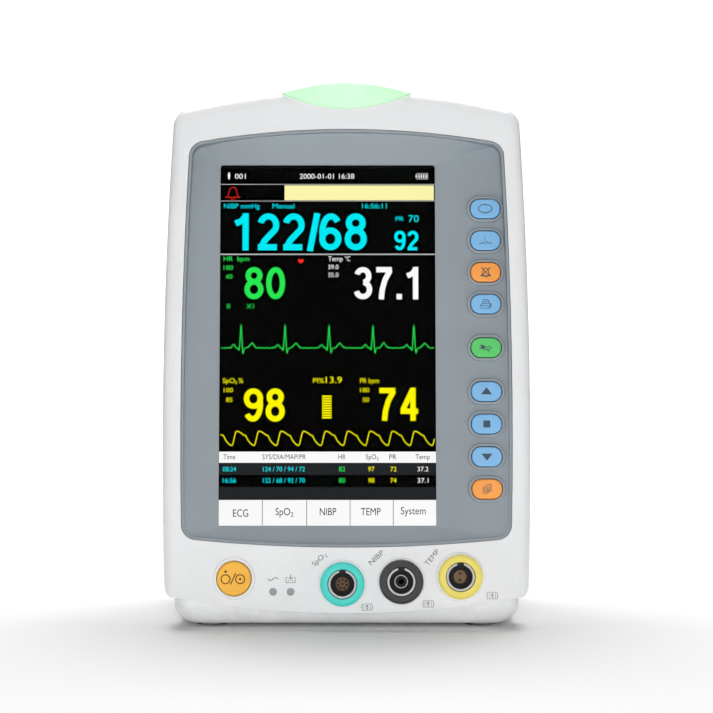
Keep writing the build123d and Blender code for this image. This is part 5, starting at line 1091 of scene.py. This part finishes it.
SOCKETS = ("spo2", "nibp", "temp", "ecg")


CORE_RADIUS = 2.95 * MM
CORE_DROP = 0.3 * MM  # the core's face lies this far below the bore's floor
# radius of the near-black disc that stands for each contact opening on a core: painted shade
HOLE_SHADE_RADIUS = 0.52 * MM
# each core's contact openings, drawn as near-black discs of painted shade: how many in a ring, the ring's radius in
# millimetres, and one in the middle or not
CONTACTS = {"spo2": (7, 1.85, True), "nibp": (0, 0.0, False), "temp": (2, 1.35, False), "ecg": (5, 1.7, True)}
# the keyway is drawn as a thin near-black bar at the socket's mouth: painted shade standing for its recess
KEYWAY_SHADE = (2.8, 1.3)  # width and height of the plug's keyway at the top of a socket, in millimetres
NOZZLE_RIM = 2.75 * MM


def tube(radius, deep, wall_thickness):
    """A short pipe about Z, with its wall inside its radius."""
    clear_selection()
    bpy.ops.mesh.primitive_cylinder_add(vertices=64, radius=radius, depth=deep, end_fill_type="NOTHING")
    o = bpy.context.object
    pick(o)
    wall = o.modifiers.new("wall", "SOLIDIFY")
    wall.thickness = wall_thickness
    wall.offset = -1.0
    bpy.ops.object.modifier_apply(modifier=wall.name)
    return tidy_solid(o, 1e-7)


class MONITOR_OT_socket_liners(bpy.types.Operator):
    """Lines each round socket with its black sleeve and floor, and paints the shade of its contact openings and keyway
    as near-black marks
    """

    bl_idname = "monitor.socket_liners"
    bl_label = "Socket liners"

    def execute(self, context):
        for name in SOCKETS:
            mount = MOUNTS[name + "_socket"]
            radius = mount["dims"]["r_mm"] * MM - 0.03 * MM
            deep = mount["dims"]["length_mm"] * MM - 0.35 * MM
            floor = 0.12 * MM
            sleeve = tube(radius, deep, 0.3 * MM)
            washer = tube(radius, floor, radius - CORE_RADIUS)
            washer.matrix_world = Matrix.Translation((0, 0, 0.6 * floor - mount["dims"]["length_mm"] * MM / 2))
            core = Matrix.Translation((0, 0, -mount["dims"]["length_mm"] * MM / 2 - CORE_DROP))
            count, ring, middle = CONTACTS[name]
            centres = [(0.0, 0.0)] if middle else []
            for i in range(count):
                turn = math.pi / 2 + 2 * math.pi * i / count
                centres.append((ring * MM * math.cos(turn), ring * MM * math.sin(turn)))
            hole_shades = []
            # each contact opening is a near-black disc laid on the core's face: painted shade where its depth would be
            for x, y in centres:
                hole_shade = disc(x, y, HOLE_SHADE_RADIUS, 0.05 * MM)
                hole_shade.matrix_world = core
                hole_shades.append(settle(hole_shade))
            # a thin near-black bar on the collar's face at the top of the bore: painted shade for the keyway's recess
            wide, high = (size * MM for size in KEYWAY_SHADE)
            key = bar(-wide / 2, radius - 0.4 * MM, wide / 2, radius - 0.4 * MM + high, 0.06 * MM)
            key.matrix_world = Matrix.Translation((0, 0, mount["dims"]["length_mm"] * MM / 2))
            o = joined([sleeve, settle(washer), settle(key), *hole_shades], name + "_socket_liner")
            bpy.ops.object.shade_smooth_by_angle(angle=math.radians(40))
            painted(o, "socket_black")
            side = Vector((0, -1, 0)) if name == "ecg" else RIGHT
            turned = plane(Vector(mount["pos_m"]), mount["axis"], side)
            place(o, turned, "root")
            if name == "nibp":
                rim = tube(NOZZLE_RIM, 0.12 * MM, 0.3 * MM)
                rim.name = "nibp_nozzle_rim"
                rim.matrix_world = Matrix.Translation((0, 0, -mount["dims"]["length_mm"] * MM / 2))
                painted(settle(rim), "socket_metal")
                place(rim, turned, "root")
        return {"FINISHED"}


# ---------------------------------------------------------------- back and sides


def on_back(parts, name, x, z, finish="pale_ink"):
    o = painted(joined(parts, name), finish)
    y = MOUNTS["wall_mount"]["pos_m"][1]
    return place(o, plane(Vector((x, y, z)), BACK_OUT, -RIGHT), "root")


class MONITOR_OT_rear_print(bpy.types.Operator):
    """Prints the generic symbols by the mains inlet, earth pin and network port"""

    bl_idname = "monitor.rear_print"
    bl_label = "Rear and side print"

    def execute(self, context):
        thick, line = sizes().print_thickness, 0.4 * MM
        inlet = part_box("ac_inlet_body")
        wave = [(x / 10 * MM, 0.8 * MM * math.sin(x / 30 * math.pi)) for x in range(-30, 31)]
        on_back([stroke(wave, line, thick)], "icon_inlet", (inlet[0].x + inlet[1].x) / 2, inlet[0].z - 4 * MM)
        earth = Vector(MOUNTS["earth_pin"]["pos_m"])
        ring = stroke(round_points(0, 0, 2.6 * MM, 2.6 * MM, 36), line, thick, closed=True)
        bars = [stroke(scaled([(0, 1.9), (0, 0.2)], MM), line, thick)]
        for i, half in enumerate((1.5, 1.0, 0.5)):
            y = 0.2 - 0.7 * i
            bars.append(stroke(scaled([(-half, y), (half, y)], MM), line, thick))
        on_back([ring] + bars, "icon_earth", earth.x - 13 * MM, earth.z)
        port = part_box("network_port")
        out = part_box("rear_housing")[0].x + 0.5 * MM
        nodes = []
        for x, y in ((-2.2, -1.6), (0.0, -1.6), (2.2, -1.6), (0.0, 1.6)):
            cell = scaled([(-0.6, -0.5), (0.6, -0.5), (0.6, 0.5), (-0.6, 0.5)], MM, x * MM, y * MM)
            nodes.append(stroke(cell, 0.28 * MM, thick, closed=True))
        nodes.append(stroke(scaled([(-2.2, -1.1), (-2.2, 0.0), (2.2, 0.0), (2.2, -1.1)], MM), 0.28 * MM, thick))
        nodes.append(stroke(scaled([(0, 1.1), (0, -1.1)], MM), 0.28 * MM, thick))
        o = painted(joined(nodes, "icon_network"), "pale_ink")
        centre = Vector((out, (port[0].y + port[1].y) / 2, port[1].z + 5 * MM))
        place(o, plane(centre, LEFT_OUT, (0, -1, 0)), "root")
        socket = Vector(MOUNTS["ecg_socket"]["pos_m"])
        words = [lettering("ECG", -3.4 * MM, 0.0, 2.4 * MM, thick, 6.8 * MM, 0.0)]
        o = painted(joined(words, "label_ecg"), "pale_ink")
        place(o, plane(Vector((out, socket.y, socket.z + 11.5 * MM)), LEFT_OUT, (0, -1, 0)), "root")
        return {"FINISHED"}


NODE_FINISHES = {"nibp_air_nozzle": "socket_black"}  # a node whose finish isn't its slot's


class MONITOR_OT_finishes(bpy.types.Operator):
    """Gives every part carried over from the frame its finish"""

    bl_idname = "monitor.finishes"
    bl_label = "Finishes"

    def execute(self, context):
        build_groups()
        build_finishes()
        for part in frame["record"]["subparts"]:
            node = NODES[part["node"]]
            finish = NODE_FINISHES.get(part["node"], part["material_slot"])
            for place_in in node.material_slots:
                place_in.material = FINISHES[finish]
        return {"FINISHED"}


# ---------------------------------------------------------------- studio


def soft_light(name, at, aim, size, power, mirrored=True):
    light = bpy.data.lights.new(name, "AREA")
    light.shape = "RECTANGLE"
    light.size, light.size_y = size
    light.energy = power
    o = bpy.data.objects.new(name, light)
    bpy.context.scene.collection.objects.link(o)
    o.location = at
    o.rotation_euler = (Vector(aim) - Vector(at)).to_track_quat("-Z", "Y").to_euler()
    o.visible_glossy = mirrored
    o.visible_transmission = mirrored
    return o


class MONITOR_OT_stage(bpy.types.Operator):
    """Adds the pale floor, the soft lights and the camera"""

    bl_idname = "monitor.stage"
    bl_label = "Stage"

    def execute(self, context):
        scene = context.scene
        s = sizes()
        clear_selection()
        bpy.ops.mesh.primitive_grid_add(x_subdivisions=2, y_subdivisions=48, size=1.0)
        floor = context.object
        floor.name = "floor"
        for vertex in floor.data.vertices:
            run = (vertex.co.y + 0.5) * 6.0 - 2.6
            vertex.co.x *= 12.0
            past = max(0.0, run - 1.2)
            vertex.co.y = min(run, 1.2) + 1.4 * math.sin(min(past / 1.4, math.pi / 2))
            vertex.co.z = 1.4 * (1 - math.cos(min(past / 1.4, math.pi / 2))) + max(0.0, past - 0.7 * math.pi)
        bpy.ops.object.shade_smooth()
        material, tree, shader, where = start("pale floor")
        drift = spread(tree, noise(tree, where, 3.0), 0.3, 0.7)
        tree.links.new(mixed(tree, drift, (0.93, 0.93, 0.93), (0.95, 0.95, 0.95)), shader.inputs["Base Color"])
        set_fixed(shader, {"Roughness": 0.8, "Emission Color": (1, 1, 1, 1)})
        axes = tree.nodes.new("ShaderNodeSeparateXYZ")
        tree.links.new(where, axes.inputs["Vector"])
        seen = tree.nodes.new("ShaderNodeLightPath").outputs["Is Camera Ray"]
        across, along = (maths(tree, "MULTIPLY", axes.outputs[label], axes.outputs[label]) for label in "XY")
        far = spread(tree, maths(tree, "ADD", across, along), 0.1, 0.8)
        tree.links.new(maths(tree, "MULTIPLY", seen, far), shader.inputs["Emission Strength"])
        floor.data.materials.append(material)
        soft_light("front softbox", (0.0, -1.3, 0.18), (0, 0, 0.12), (0.5, 0.36), s.key_light, mirrored=False)
        soft_light("left softbox", (-1.5, -0.5, 0.7), (0, 0, 0.1), (0.6, 1.4), s.side_light)
        soft_light("right softbox", (1.5, -0.5, 0.7), (0, 0, 0.1), (0.6, 1.4), s.side_light)
        soft_light("top softbox", (0.0, 0.4, 1.3), (0, 0, 0.0), (1.2, 0.8), s.top_light)
        world = bpy.data.worlds.new("room")
        world.use_nodes = True
        world.node_tree.nodes["Background"].inputs["Color"].default_value = (1, 1, 1, 1)
        tree = world.node_tree
        path = tree.nodes.new("ShaderNodeLightPath").outputs
        strength = maths(tree, "ADD", maths(tree, "MULTIPLY", path["Is Glossy Ray"], s.gloss_light), s.room_light)
        strength = maths(tree, "ADD", strength, path["Is Camera Ray"])
        tree.links.new(strength, tree.nodes["Background"].inputs["Strength"])
        scene.world = world
        scene.view_settings.view_transform = "Standard"
        lens = bpy.data.cameras.new("camera")
        lens.lens = 109.4
        lens.sensor_width = 36.0
        lens.shift_x = 0.014
        camera = bpy.data.objects.new("camera", lens)
        scene.collection.objects.link(camera)
        aim = Vector((0.0, -0.045, 0.1135))
        back = 0.905
        tilt = math.radians(1.75)
        camera.location = aim + Vector((0.0, -back * math.cos(tilt), back * math.sin(tilt)))
        camera.rotation_euler = (math.pi / 2 - tilt, 0.0, 0.0)
        scene.camera = camera
        return {"FINISHED"}


STEPS = (
    MONITOR_OT_finishes,
    MONITOR_OT_stage,
    MONITOR_OT_picture,
    MONITOR_OT_traces,
    MONITOR_OT_legends,
    MONITOR_OT_panel_print,
    MONITOR_OT_socket_liners,
    MONITOR_OT_rear_print,
)


class MONITOR_PT_steps(bpy.types.Panel):
    """Lists the monitor's pieces and their sizes"""

    bl_label = "Monitor"
    bl_idname = "MONITOR_PT_steps"
    bl_space_type = "VIEW_3D"
    bl_region_type = "UI"
    bl_category = "Monitor"

    def draw(self, context):
        for step in STEPS:
            self.layout.operator(step.bl_idname)
        for group in (context.scene.monitor_sizes, context.scene.monitor_colours):
            for label in group.__annotations__:
                self.layout.prop(group, label)


CLASSES = (MonitorSizes, MonitorColours, *STEPS, MONITOR_PT_steps)


def register():
    for cls in CLASSES:
        bpy.utils.register_class(cls)
    bpy.types.Scene.monitor_sizes = bpy.props.PointerProperty(type=MonitorSizes)
    bpy.types.Scene.monitor_colours = bpy.props.PointerProperty(type=MonitorColours)


def unregister():
    del bpy.types.Scene.monitor_colours
    del bpy.types.Scene.monitor_sizes
    for cls in reversed(CLASSES):
        bpy.utils.unregister_class(cls)


def main():
    register()
    bpy.ops.monitor.finishes()
    bpy.ops.monitor.stage()
    bpy.ops.monitor.picture()
    bpy.ops.monitor.traces()
    bpy.ops.monitor.legends()
    bpy.ops.monitor.panel_print()
    bpy.ops.monitor.socket_liners()
    bpy.ops.monitor.rear_print()


if __name__ == "__main__":
    main()
